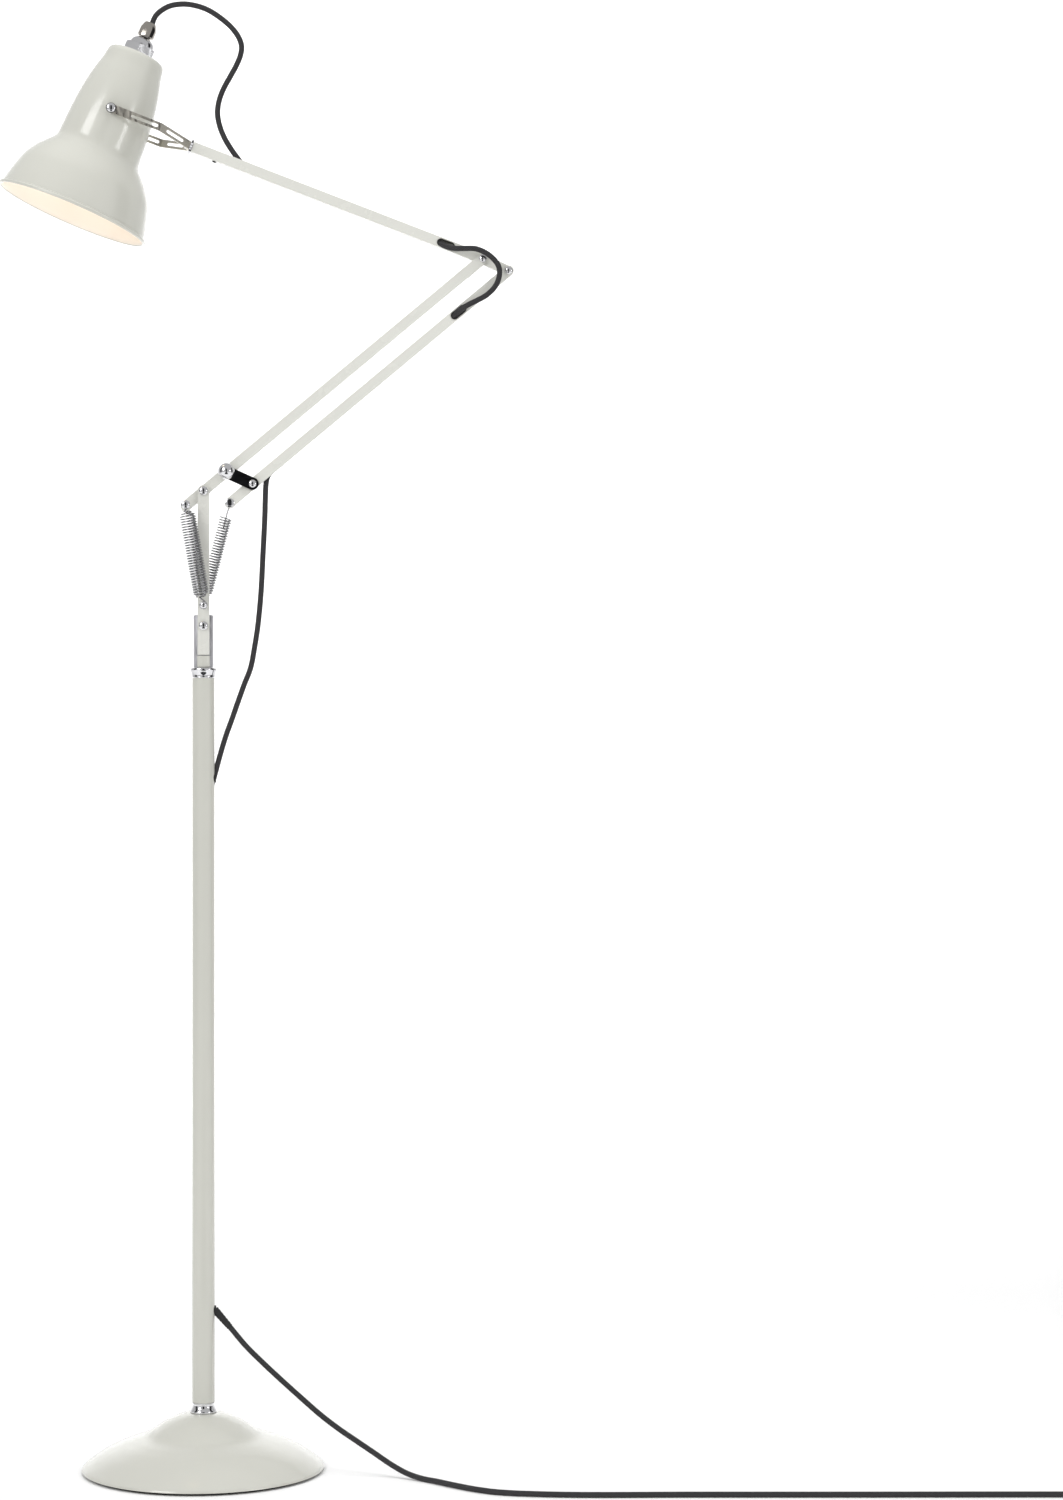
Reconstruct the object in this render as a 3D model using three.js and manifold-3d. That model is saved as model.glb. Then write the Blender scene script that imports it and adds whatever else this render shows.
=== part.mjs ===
// Adjustable arm floor lamp, in millimetres. +Z is up, +X runs towards the elbow, -Y is the near side.
// The origin is on the floor, on the axis of the post.
import * as THREE from 'three';
import { mergeVertices } from 'three/addons/utils/BufferGeometryUtils.js';
import Module from 'manifold-3d';

const wasm = await Module();
wasm.setup();

const group = new THREE.Group();
const DEG = Math.PI / 180;
const GAP = 0.3; // clearance between pieces that touch

// ---------------------------------------------------------------- sizes
// Base and post
const BASE_RADIUS = 120.5;
const BASE_TOP = 58;
const COVER_WALL = 2;
const PAD_RADIUS = 116;
const PAD_THICKNESS = 2.4;
const POLE_RADIUS = 11.2;
const POLE_BORE = 9.9;
const POLE_FOOT = 68.2;
const POLE_HEAD = 792;
const SPIGOT_RADIUS = 9.5;
const COLLAR_TOP = 802;
const SPINDLE_RADIUS = 5;
const ROD_RADIUS = 4.7;
const MAINS_OUTLET_HEIGHT = 160;
const WAIST_INLET_HEIGHT = 692;

// Bracket on top of the post
const BLOCK_FOOT = 802.3;
const BLOCK_TOP = 855;
const BLOCK_RADIUS = 10;
const CHEEK_INNER = 6.9;
const CHEEK_OUTER = 8.9;
const CHEEK_HALF_WIDTH = 5.9;
const CHEEK_FOOT = 815;
const BRACKET_SCREW_HEIGHT = 844;
const SPRING_ANCHOR_HEIGHT = 864.2;
const SHOULDER_HEIGHT = 978.6;

// Arms
const BAR_HALF = 5.2; // half the side of the square tube
const BORE_HALF = 4; // half the side of the hollow in it
const LOWER_ANGLE = 40.16 * DEG;
const LOWER_LENGTH = 366.2; // shoulder pin to elbow pin
const TAIL_LENGTH = 23.1; // shoulder pin to tail pin
const LINK_ALONG = 29.6; // shoulder pin to link pivot
const CRANK_LENGTH = 28.65; // length of link, and of the upper arm's tail
const CRANK_ANGLE = -24 * DEG;
const UPPER_ANGLE = 159.7 * DEG;
const UPPER_LENGTH = 310; // elbow pin to the end of the bar
const PIVOT_ALONG = 395; // elbow pin to the shade's pivot
const PIN_RADIUS = 2.4;
const HOLE_RADIUS = 2.7;
const HEAD_RADIUS = 4.5;
const TONGUE_HALF = 2.8; // half thickness of the flattened elbow tongue
const FORK_HALF = 3.15; // half width of the slots that the tongue runs in
const FORK_DEPTH = 24;
const SPRING_OFFSET = 18; // the left springs lie this far each side of the middle plane
const LEFT_SPRING_RADIUS = 8.4;
const RIGHT_SPRING_RADIUS = 6.5;
const SPRING_WALL = 1.8;
const SPRING_WIRE = 0.9;

// Head
const SHADE_TILT = 22.2 * DEG;
const PIVOT_DEPTH = 67; // pivot below the shade's top face
const SHADE_WALL = 1.2;
const YOKE_INNER = 43.6;
const YOKE_OUTER = 46;
const YOKE_HALF_HEIGHT = 4;

// Flex
const FLEX_RADIUS = 2.75;
const COIL_INNER = 19;
const COIL_OUTER = 41.5;
const COIL_HEIGHT = 11.5;
const COIL_CENTRE = new THREE.Vector2(897, -168);
const PLUG_AT = new THREE.Vector2(968, -212);
const PLUG_TURN = 4 * DEG;
const PLUG_REST = 11;

// A cylinder along +X, its middle at (x, y, z)
const rodX = (radius, length, x, y = 0, z = 0, segments = 20) =>
  new THREE.CylinderGeometry(radius, radius, length, segments).rotateZ(-Math.PI / 2).translate(x, y, z);

// ---------------------------------------------------------------- key points, as (x, z)
const polar = (from, angle, length) =>
  new THREE.Vector2(from.x + length * Math.cos(angle), from.y + length * Math.sin(angle));
const shoulder = new THREE.Vector2(0, SHOULDER_HEIGHT);
const springAnchor = new THREE.Vector2(0, SPRING_ANCHOR_HEIGHT);
const tail = polar(shoulder, LOWER_ANGLE, -TAIL_LENGTH);
const tieFoot = polar(shoulder, CRANK_ANGLE, CRANK_LENGTH);
const linkPivot = polar(shoulder, LOWER_ANGLE, LINK_ALONG);
const linkEnd = polar(linkPivot, CRANK_ANGLE, CRANK_LENGTH);
const elbow = polar(shoulder, LOWER_ANGLE, LOWER_LENGTH);
const tieHead = polar(elbow, CRANK_ANGLE, CRANK_LENGTH);
const shadePivot = polar(elbow, UPPER_ANGLE, PIVOT_ALONG);

// ---------------------------------------------------------------- materials
const surface = (color, roughness, metalness) =>
  new THREE.MeshStandardMaterial({ color, roughness, metalness });
const paint = surface(0xd6d6cc, 0.3, 0);
const armPaint = surface(0xe2e2da, 0.35, 0);
const chrome = surface(0xd9dadc, 0.08, 1);
const nickel = surface(0xb4b0a4, 0.25, 1);
const steel = surface(0x9a9a98, 0.35, 1);
const darkSteel = surface(0x1c1c1e, 0.4, 0.6);
const iron = surface(0x3a3a3c, 0.8, 0.4);
const rubber = surface(0x141414, 0.8, 0);
const flexCloth = surface(0x2b2a2f, 0.85, 0);
const plugPlastic = surface(0x161618, 0.4, 0);
const brass = surface(0xc9a959, 0.3, 1);
const holderPlastic = surface(0xe9e6dc, 0.4, 0);
const frosted = surface(0xfff6e4, 0.2, 0);

// ---------------------------------------------------------------- helpers
// A closed triangle mesh without loose or flat triangles, its faces outward.
function tidy(geometry) {
  const bare = geometry.clone();
  bare.deleteAttribute('normal');
  bare.deleteAttribute('uv');
  const merged = mergeVertices(bare, 1e-4);
  const place = merged.attributes.position;
  const index = merged.index.array;
  const kept = [];
  const a = new THREE.Vector3();
  const b = new THREE.Vector3();
  const c = new THREE.Vector3();
  let volume = 0;
  for (let i = 0; i < index.length; i += 3) {
    const [p, q, r] = [index[i], index[i + 1], index[i + 2]];
    if (p === q || q === r || r === p) continue;
    kept.push(p, q, r);
    a.fromBufferAttribute(place, p);
    b.fromBufferAttribute(place, q);
    c.fromBufferAttribute(place, r);
    volume += a.dot(b.cross(c));
  }
  if (volume < 0) kept.reverse();
  merged.setIndex(kept);
  return merged;
}

function toSolid(geometry) {
  const mesh = tidy(geometry);
  return new wasm.Manifold(new wasm.Mesh({
    numProp: 3,
    vertProperties: new Float32Array(mesh.attributes.position.array),
    triVerts: new Uint32Array(mesh.index.array),
  }));
}

function toGeometry(solid) {
  const mesh = solid.getMesh();
  const geometry = new THREE.BufferGeometry();
  geometry.setAttribute('position', new THREE.BufferAttribute(new Float32Array(mesh.vertProperties), 3));
  geometry.setIndex(new THREE.BufferAttribute(new Uint32Array(mesh.triVerts), 1));
  return geometry;
}

const cut = (geometry, ...tools) =>
  toGeometry(tools.reduce((rest, tool) => rest.subtract(toSolid(tool)), toSolid(geometry)));
const join = (geometry, ...more) =>
  toGeometry(more.reduce((sum, piece) => sum.add(toSolid(piece)), toSolid(geometry)));
const common = (first, second) => toGeometry(toSolid(first).intersect(toSolid(second)));

function add(name, geometry, material, parent = group) {
  const mesh = new THREE.Mesh(tidy(geometry), material);
  mesh.name = name;
  parent.add(mesh);
  return mesh;
}

// A group whose own X axis leaves a key point at an angle in the XZ plane
function frameAt(point, angle) {
  const frame = new THREE.Group();
  frame.position.set(point.x, 0, point.y);
  frame.rotation.y = -angle;
  group.add(frame);
  return frame;
}

const vec2 = (pairs) => pairs.map(([x, y]) => new THREE.Vector2(x, y));

// Turned about +Z from (radius, height) pairs; the profile starts and ends on the axis, or closes on itself.
const turned = (profile, segments = 24) =>
  new THREE.LatheGeometry(vec2(profile), segments).rotateX(Math.PI / 2);
// The same about +Y, from (radius, y) pairs, centred on a key point.
const turnedY = (profile, at, segments = 16) =>
  new THREE.LatheGeometry(vec2(profile), segments).translate(at.x, 0, at.y);
const rodY = (radius, yMin, yMax, at, segments = 16) =>
  turnedY([[0, yMin], [radius, yMin], [radius, yMax], [0, yMax]], at, segments);
const ringProfile = (inner, outer, low, high) =>
  [[inner, low], [outer, low], [outer, high], [inner, high], [inner, low]];

function box(x0, x1, y0, y1, z0, z1) {
  return new THREE.BoxGeometry(x1 - x0, y1 - y0, z1 - z0)
    .translate((x0 + x1) / 2, (y0 + y1) / 2, (z0 + z1) / 2);
}

// A flat plate cut to an (x, z) outline, from yMin to yMax.
function plate(shape, yMin, yMax) {
  return new THREE.ExtrudeGeometry(shape, { depth: yMax - yMin, bevelEnabled: false, curveSegments: 6 })
    .rotateX(Math.PI / 2).translate(0, yMax, 0);
}

// A strip with round ends, centred on the X axis of its own frame.
function stripShape(x0, x1, halfWidth) {
  const shape = new THREE.Shape();
  shape.moveTo(x0, -halfWidth);
  shape.lineTo(x1, -halfWidth);
  shape.absarc(x1, 0, halfWidth, -Math.PI / 2, Math.PI / 2, false);
  shape.lineTo(x0, halfWidth);
  shape.absarc(x0, 0, halfWidth, Math.PI / 2, Math.PI * 1.5, false);
  return shape;
}

function flexTube(points, radius, steps, sides = 4) {
  const circle = new THREE.Shape().absarc(0, 0, radius, 0, Math.PI * 2, false);
  const path = new THREE.CatmullRomCurve3(points.map((p) => new THREE.Vector3(...p)), false, 'centripetal');
  return new THREE.ExtrudeGeometry(circle,
    { steps, curveSegments: sides, bevelEnabled: false, extrudePath: path });
}

// The inside of a sheet-metal wall: each point moved in along the profile's normal.
function insetProfile(profile, wall) {
  return profile.map(([r, z], i) => {
    const before = profile[Math.max(i - 1, 0)];
    const after = profile[Math.min(i + 1, profile.length - 1)];
    const along = new THREE.Vector2(after[0] - before[0], after[1] - before[1]).normalize();
    return [r + wall * along.y, z - wall * along.x];
  });
}

const smooth = (pairs, count) => new THREE.SplineCurve(vec2(pairs)).getPoints(count).map((p) => [p.x, p.y]);

// ---------------------------------------------------------------- base
add('base_pad', turned([
  [0, 0], [PAD_RADIUS, 0], [PAD_RADIUS, PAD_THICKNESS], [0, PAD_THICKNESS],
], 48), rubber);

const COVER_FOOT = PAD_THICKNESS + GAP;
const coverOuter = smooth([
  [13, BASE_TOP], [25, 55.5], [36, 50.5], [48, 43], [58, 36.5], [72, 31.5],
  [85, 26.5], [100, 19], [112, 11], [119, 5.5], [BASE_RADIUS, COVER_FOOT],
], 10);
const coverInner = insetProfile(coverOuter, COVER_WALL).map(([r, z]) => [r, Math.max(z, COVER_FOOT)]);
const COVER_HOLE = ROD_RADIUS + GAP;
add('base_cover', turned([
  [COVER_HOLE, BASE_TOP], ...coverOuter, ...coverInner.reverse(), [COVER_HOLE, BASE_TOP - COVER_WALL],
  [COVER_HOLE, BASE_TOP],
], 36), paint);

const NUT_RECESS = 15;
const RECESS_TOP = 9;
const WEIGHT_RADIUS = 112;
const WEIGHT_TOP = 52;
add('base_weight', turned([
  [COVER_HOLE, RECESS_TOP], [NUT_RECESS, RECESS_TOP], [NUT_RECESS, COVER_FOOT], [WEIGHT_RADIUS, COVER_FOOT],
  [WEIGHT_RADIUS, 6], [98, 15], [84, 22], [70, 27], [56, 31.5], [44, 40], [32, 47], [20, 51],
  [COVER_HOLE, WEIGHT_TOP], [COVER_HOLE, RECESS_TOP],
], 28), iron);

// The rod that ties the collar to the base, with its flat head under the weight
const ROD_HEAD_RADIUS = 10;
const ROD_HEAD_FOOT = 3.2;
const ROD_HEAD_TOP = 8.6;
const ROD_TOP = 84;
add('base_rod', turned([
  [0, ROD_HEAD_FOOT], [ROD_HEAD_RADIUS, ROD_HEAD_FOOT], [ROD_HEAD_RADIUS, ROD_HEAD_TOP],
  [ROD_RADIUS, ROD_HEAD_TOP], [ROD_RADIUS, ROD_TOP], [0, ROD_TOP],
], 16), steel);

add('bottom_collar', turned([
  [ROD_RADIUS + GAP, BASE_TOP + GAP], [13, BASE_TOP + GAP], [13, 59.6], [12.4, 61], [11, 63.2], [10.4, 65.5],
  [10.4, 67], [11, POLE_FOOT - GAP], [SPIGOT_RADIUS, POLE_FOOT - GAP], [SPIGOT_RADIUS, 94],
  [ROD_RADIUS + GAP, 94], [ROD_RADIUS + GAP, BASE_TOP + GAP],
], 24), chrome);

// ---------------------------------------------------------------- post
const GROMMET_OUTER = 4.6;
const grommetHole = (radius, height) =>
  rodX(radius, 12, 14, 0, height, 24);
add('pole', cut(
  turned(ringProfile(POLE_BORE, POLE_RADIUS, POLE_FOOT, POLE_HEAD), 28),
  grommetHole(GROMMET_OUTER + GAP, MAINS_OUTLET_HEIGHT),
  grommetHole(GROMMET_OUTER + GAP, WAIST_INLET_HEIGHT),
), paint);
const postHoles = [['mains_grommet', MAINS_OUTLET_HEIGHT], ['waist_grommet', WAIST_INLET_HEIGHT]];
for (const [name, height] of postHoles) {
  const ring = new THREE.LatheGeometry(vec2(ringProfile(FLEX_RADIUS + GAP, GROMMET_OUTER, 0, 2.8)), 16);
  const grommet = add(name, ring.rotateZ(-Math.PI / 2), rubber);
  grommet.position.set(POLE_BORE, 0, height);
}
add('top_collar', turned([
  [SPINDLE_RADIUS + GAP, 765], [SPIGOT_RADIUS, 765], [SPIGOT_RADIUS, POLE_HEAD + GAP],
  [11.4, POLE_HEAD + GAP], [11.5, 794], [12.1, 797], [13.1, 799.4], [13.2, 801], [12.6, COLLAR_TOP],
  [SPINDLE_RADIUS + GAP, COLLAR_TOP],
  [SPINDLE_RADIUS + GAP, 765],
], 24), chrome);
add('pole_cable', flexTube([
  [3.2, 0, MAINS_OUTLET_HEIGHT + 4], [0, 0, MAINS_OUTLET_HEIGHT + 16], [0, 0, 420],
  [0, 0, WAIST_INLET_HEIGHT - 16], [3.2, 0, WAIST_INLET_HEIGHT - 4],
], FLEX_RADIUS, 16), flexCloth);

// ---------------------------------------------------------------- swivelling bracket
add('spindle', turned([
  [0, 768], [SPINDLE_RADIUS, 768], [SPINDLE_RADIUS, BLOCK_FOOT + 8], [0, BLOCK_FOOT + 8],
], 20), steel);
const flat = CHEEK_INNER - GAP;
const blockAt = new THREE.Vector2(0, BRACKET_SCREW_HEIGHT);
add('swivel_block', cut(
  turned([
    [0, BLOCK_FOOT], [9.2, BLOCK_FOOT], [BLOCK_RADIUS, BLOCK_FOOT + 1], [BLOCK_RADIUS, BLOCK_TOP - 1],
    [9, BLOCK_TOP], [0, BLOCK_TOP],
  ], 28),
  box(-20, 20, flat, 20, CHEEK_FOOT - 1, BLOCK_TOP + 1),
  box(-20, 20, -20, -flat, CHEEK_FOOT - 1, BLOCK_TOP + 1),
  rodY(HOLE_RADIUS, -12, 12, blockAt),
  turned([
    [0, BLOCK_FOOT - 1], [SPINDLE_RADIUS + GAP, BLOCK_FOOT - 1], [SPINDLE_RADIUS + GAP, BLOCK_FOOT + 9],
    [0, BLOCK_FOOT + 9],
  ], 20),
), nickel);

const cheekHeight = SHOULDER_HEIGHT - CHEEK_FOOT;
const cheekShape = new THREE.Shape();
cheekShape.moveTo(-CHEEK_HALF_WIDTH, CHEEK_FOOT);
cheekShape.lineTo(CHEEK_HALF_WIDTH, CHEEK_FOOT);
cheekShape.lineTo(CHEEK_HALF_WIDTH, CHEEK_FOOT + cheekHeight);
cheekShape.absarc(0, SHOULDER_HEIGHT, CHEEK_HALF_WIDTH, 0, Math.PI, false);
for (const height of [BRACKET_SCREW_HEIGHT, SPRING_ANCHOR_HEIGHT, SHOULDER_HEIGHT]) {
  cheekShape.holes.push(new THREE.Path().absarc(0, height, HOLE_RADIUS, 0, Math.PI * 2, true));
}
add('cheek_near', plate(cheekShape, -CHEEK_OUTER, -CHEEK_INNER), armPaint);
add('cheek_far', plate(cheekShape, CHEEK_INNER, CHEEK_OUTER), armPaint);

// A pin across the bracket: domed head on the near side, plain nut on the far side
function crossPin(at, headAt, nutAt, headRadius = HEAD_RADIUS, shaft = PIN_RADIUS) {
  return turnedY([
    [0, headAt - 3], [headRadius * 0.6, headAt - 2.8], [headRadius, headAt - 1.6], [headRadius, headAt],
    [shaft, headAt], [shaft, nutAt], [headRadius, nutAt], [headRadius, nutAt + 2.6], [0, nutAt + 2.6],
  ], at);
}
add('bracket_screw', crossPin(blockAt, -CHEEK_OUTER - GAP, CHEEK_OUTER + GAP), chrome);
add('shoulder_pin', crossPin(shoulder, -CHEEK_OUTER - GAP, CHEEK_OUTER + GAP), chrome);
add('spring_anchor_pin', crossPin(springAnchor, -SPRING_OFFSET - 3, SPRING_OFFSET + 3, 3.6), chrome);

// ---------------------------------------------------------------- springs
// A close-wound spring stands in as a hollow tube, with a wire eye round the pin at each end that has one.
// The gaps are from the pins to the tube's ends.
const EYE_RADIUS = PIN_RADIUS + SPRING_WIRE + 0.2;
const TUBE_END = 1.5; // thickness of the closed end of the tube
const VENT_RADIUS = 1;
const VENT_OFFSET = 2.8; // the vent in a closed end lies beside the wire of the eye
function springEye(at, towards, reach) {
  const ring = new THREE.TorusGeometry(EYE_RADIUS, SPRING_WIRE, 5, 10);
  ring.rotateX(Math.PI / 2).translate(at, 0, 0);
  const shank = [[at + towards * EYE_RADIUS, 0, 0], [at + towards * reach, 0, 0]];
  const stem = flexTube(shank, SPRING_WIRE, 1, 3);
  return [ring, stem];
}
function springTube(radius, length, fromGap, toGap, openEnd) {
  const start = fromGap;
  const end = length - toGap;
  const middle = (start + end) / 2;
  const bore = radius - SPRING_WALL;
  const outside = rodX(radius, end - start, middle, 0, 0);
  const inside = rodX(bore, end - start - TUBE_END * 2, middle, 0, 0);
  const opening = openEnd ? rodX(bore, 8, end, 0, 0) : rodX(VENT_RADIUS, 8, end, VENT_OFFSET, 0, 8);
  return cut(outside, inside, opening);
}
function addSpring(name, radius, to, y, fromGap, toGap, openEnd = false) {
  const run = new THREE.Vector2().subVectors(to, springAnchor);
  const length = run.length();
  const eyes = springEye(0, 1, fromGap + 1);
  if (!openEnd) eyes.push(...springEye(length, -1, toGap + 1));
  const body = join(springTube(radius, length, fromGap, toGap, openEnd), ...eyes);
  add(name, body, steel, frameAt(springAnchor, run.angle())).position.y = y;
}
addSpring('left_spring_near', LEFT_SPRING_RADIUS, tail, -SPRING_OFFSET, 11, 7);
addSpring('left_spring_far', LEFT_SPRING_RADIUS, tail, SPRING_OFFSET, 11, 7);
addSpring('right_spring', RIGHT_SPRING_RADIUS, tieFoot, 0, 13, 9, true);
// The right spring's upper hook has a long shank, which slides inside the coil as the lower arm swings
const HOOK_SHANK = 24;
const hookFrame = frameAt(tieFoot, new THREE.Vector2().subVectors(springAnchor, tieFoot).angle());
const [hookRing, hookShank] = springEye(0, 1, HOOK_SHANK);
add('right_spring_hook', join(hookRing, hookShank), steel, hookFrame);

// ---------------------------------------------------------------- lower arm
const lowerArm = frameAt(shoulder, LOWER_ANGLE);
const alongHole = (x, yMin = -12, yMax = 12, radius = HOLE_RADIUS) =>
  rodY(radius, yMin, yMax, new THREE.Vector2(x, 0));
add('lower_bar', cut(
  plate(stripShape(-TAIL_LENGTH, LOWER_LENGTH, BAR_HALF), -BAR_HALF, BAR_HALF),
  box(-TAIL_LENGTH - 1, LOWER_LENGTH - FORK_DEPTH - 6, -BORE_HALF, BORE_HALF, -BORE_HALF, BORE_HALF),
  box(LOWER_LENGTH - FORK_DEPTH, LOWER_LENGTH + 9, -FORK_HALF, FORK_HALF, -9, 9),
  alongHole(-TAIL_LENGTH),
  alongHole(0),
  alongHole(LINK_ALONG, -12, 0, 3 + GAP),
  alongHole(LOWER_LENGTH),
), armPaint, lowerArm);
add('tail_pin', crossPin(tail, -SPRING_OFFSET - 3, SPRING_OFFSET + 3), chrome);
add('elbow_pin', crossPin(elbow, -BAR_HALF - GAP, BAR_HALF + GAP, 3.9), chrome);

// Chrome ball on a stud, which is also the link's pivot
const BALL_RADIUS = 8.3;
const BALL_DEPTH = -16.2;
const LINK_NEAR = -8.3;
const LINK_FAR = -6.5;
const ballProfile = [[0, BALL_DEPTH - BALL_RADIUS]];
for (let step = 1; step <= 11; step += 1) {
  const turn = (step / 14) * Math.PI;
  ballProfile.push([BALL_RADIUS * Math.sin(turn), BALL_DEPTH - BALL_RADIUS * Math.cos(turn)]);
}
add('ball_knob', turnedY([
  ...ballProfile, [4.4, LINK_NEAR - GAP], [3, LINK_NEAR - GAP], [3, -1.6], [0, -1.6],
], linkPivot, 20), chrome);
const linkShape = stripShape(0, CRANK_LENGTH, 6.2);
linkShape.holes.push(new THREE.Path().absarc(0, 0, 3 + GAP, 0, Math.PI * 2, true));
linkShape.holes.push(new THREE.Path().absarc(CRANK_LENGTH, 0, HOLE_RADIUS, 0, Math.PI * 2, true));
add('link_plate', plate(linkShape, LINK_NEAR, LINK_FAR), darkSteel, frameAt(linkPivot, CRANK_ANGLE));

// ---------------------------------------------------------------- tie bar
const TIE_LENGTH = LOWER_LENGTH;
const TIE_GROMMET = 300; // middle of the oval hole in its near face
const WAIST_OUTLET = 47.2; // hole in its underside
const OVAL_HALF = 5.4; // half the straight length of an oval hole
const OVAL_RADIUS = 4;
const ovalTool = (x, grow) => plate(
  stripShape(-OVAL_HALF, OVAL_HALF, OVAL_RADIUS + grow), -BAR_HALF - 2, -1).translate(x, 0, 0);
const tieFrame = frameAt(tieFoot, LOWER_ANGLE);
add('tie_bar', cut(
  plate(stripShape(0, TIE_LENGTH, BAR_HALF), -BAR_HALF, BAR_HALF),
  box(12, TIE_LENGTH - FORK_DEPTH - 26, -BORE_HALF, BORE_HALF, -BORE_HALF, BORE_HALF),
  box(TIE_LENGTH - FORK_DEPTH - 27, TIE_LENGTH + 9, -FORK_HALF, FORK_HALF, -BORE_HALF, 9),
  box(TIE_LENGTH - FORK_DEPTH, TIE_LENGTH + 9, -FORK_HALF, FORK_HALF, -9, 9),
  box(-9, 9, -2, 2, -9, 9),
  alongHole(0),
  alongHole(LINK_ALONG, -12, 0),
  alongHole(TIE_LENGTH),
  ovalTool(TIE_GROMMET, 0),
  turned([[0, -9], [4, -9], [4, 0], [0, 0]], 20).translate(WAIST_OUTLET, 0, 0),
), armPaint, tieFrame);
const LINK_NUT = -3.6; // the link's pin is held inside the tie bar's near wall
add('link_pin', turnedY([
  [0, LINK_NEAR - GAP - 3], [2.6, LINK_NEAR - GAP - 2.8], [4, LINK_NEAR - GAP - 1.6], [4, LINK_NEAR - GAP],
  [PIN_RADIUS, LINK_NEAR - GAP], [PIN_RADIUS, LINK_NUT], [0, LINK_NUT],
], linkEnd), chrome);
const RIVET_END = CHEEK_INNER - GAP; // the foot's rivet passes between the cheeks
add('tie_foot_pin', turnedY([
  [0, -RIVET_END], [3, -RIVET_END], [HEAD_RADIUS, -BAR_HALF - GAP], [PIN_RADIUS, -BAR_HALF - GAP],
  [PIN_RADIUS, BAR_HALF + GAP], [HEAD_RADIUS, BAR_HALF + GAP], [3, RIVET_END], [0, RIVET_END],
], tieFoot), chrome);
add('tie_head_pin', crossPin(tieHead, -BAR_HALF - GAP, BAR_HALF + GAP, 3.9), chrome);

const ovalRing = (x, grow) => cut(
  plate(stripShape(-OVAL_HALF, OVAL_HALF, OVAL_RADIUS - GAP), -BAR_HALF - 1.2, -BORE_HALF - 0.1),
  plate(stripShape(-OVAL_HALF, OVAL_HALF, OVAL_RADIUS - grow), -BAR_HALF - 3, 0),
).translate(x, 0, 0);
const RING_WALL = 1.3;
add('tie_grommet', ovalRing(TIE_GROMMET, RING_WALL), rubber, tieFrame);
add('tie_cable', flexTube([
  [WAIST_OUTLET + 2, 0, -0.9], [WAIST_OUTLET + 20, 0, 0], [180, 0, 0], [TIE_GROMMET - 10, 0, 0],
], FLEX_RADIUS, 8), flexCloth, tieFrame);

// ---------------------------------------------------------------- upper arm
const UPPER_OVAL = 39.7; // middle of the oval hole in its near face
const HEAD_CORD_HOLE = 260.9;
const TONGUE_END = 22;
const tailEnd = new THREE.Vector2(
  CRANK_LENGTH * Math.cos(CRANK_ANGLE - UPPER_ANGLE), CRANK_LENGTH * Math.sin(CRANK_ANGLE - UPPER_ANGLE));
const upperPlan = new THREE.Shape(vec2([
  [-40, -TONGUE_HALF], [TONGUE_END, -TONGUE_HALF], [TONGUE_END + 5, -BAR_HALF], [UPPER_LENGTH, -BAR_HALF],
  [UPPER_LENGTH, BAR_HALF], [TONGUE_END + 5, BAR_HALF], [TONGUE_END, TONGUE_HALF], [-40, TONGUE_HALF],
]));
const upperSide = new THREE.Shape();
upperSide.moveTo(0, -BAR_HALF);
upperSide.lineTo(UPPER_LENGTH, -BAR_HALF);
upperSide.lineTo(UPPER_LENGTH, BAR_HALF);
upperSide.lineTo(0, BAR_HALF);
upperSide.lineTo(tailEnd.x, tailEnd.y + 5);
upperSide.absarc(tailEnd.x, tailEnd.y, 5, Math.PI / 2, Math.PI * 1.5, false);
const upperSolid = common(
  plate(upperSide, -BAR_HALF, BAR_HALF),
  new THREE.ExtrudeGeometry(upperPlan, { depth: 30, bevelEnabled: false }).translate(0, 0, -15),
);
const upperArm = frameAt(elbow, UPPER_ANGLE);
add('upper_bar', cut(
  upperSolid,
  box(TONGUE_END + 9, UPPER_LENGTH + 1, -BORE_HALF, BORE_HALF, -BORE_HALF, BORE_HALF),
  alongHole(0),
  alongHole(tailEnd.x).translate(0, 0, tailEnd.y),
  ovalTool(UPPER_OVAL, 0),
  turned([[0, -9], [4, -9], [4, 0], [0, 0]], 20).translate(HEAD_CORD_HOLE, 0, 0),
  turned([[0, 0], [1.6, 0], [1.6, 9], [0, 9]], 12).translate(UPPER_LENGTH - 25, 0, 0),
), armPaint, upperArm);
add('upper_grommet', ovalRing(UPPER_OVAL, RING_WALL), rubber, upperArm);
add('upper_cable', flexTube([
  [UPPER_OVAL + 8, 0, 0], [UPPER_OVAL + 24, 0, 0], [160, 0, 0], [HEAD_CORD_HOLE - 16, 0, 0],
  [HEAD_CORD_HOLE - 4, 0, -0.9],
], FLEX_RADIUS, 8), flexCloth, upperArm);
const PLUG_BORE = 2.4;
const PLUG_HALF = BORE_HALF - GAP;
const PLUG_SCREW_AT = UPPER_LENGTH - 25;
add('end_plug', cut(
  box(UPPER_LENGTH - 30, UPPER_LENGTH - GAP, -PLUG_HALF, PLUG_HALF, -PLUG_HALF, PLUG_HALF),
  rodX(PLUG_BORE, 40, UPPER_LENGTH, 0, 0, 16),
  turned([[0, -1], [1.6, -1], [1.6, 9], [0, 9]], 12).translate(PLUG_SCREW_AT, 0, 0),
), nickel, upperArm);
add('plug_screw', turned([
  [0, 0.4], [1.2, 0.4], [1.2, BAR_HALF + GAP], [2.2, BAR_HALF + GAP], [1.6, BAR_HALF + 1.2],
  [0, BAR_HALF + 1.4],
], 12), darkSteel, upperArm).position.x = PLUG_SCREW_AT;

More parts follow.
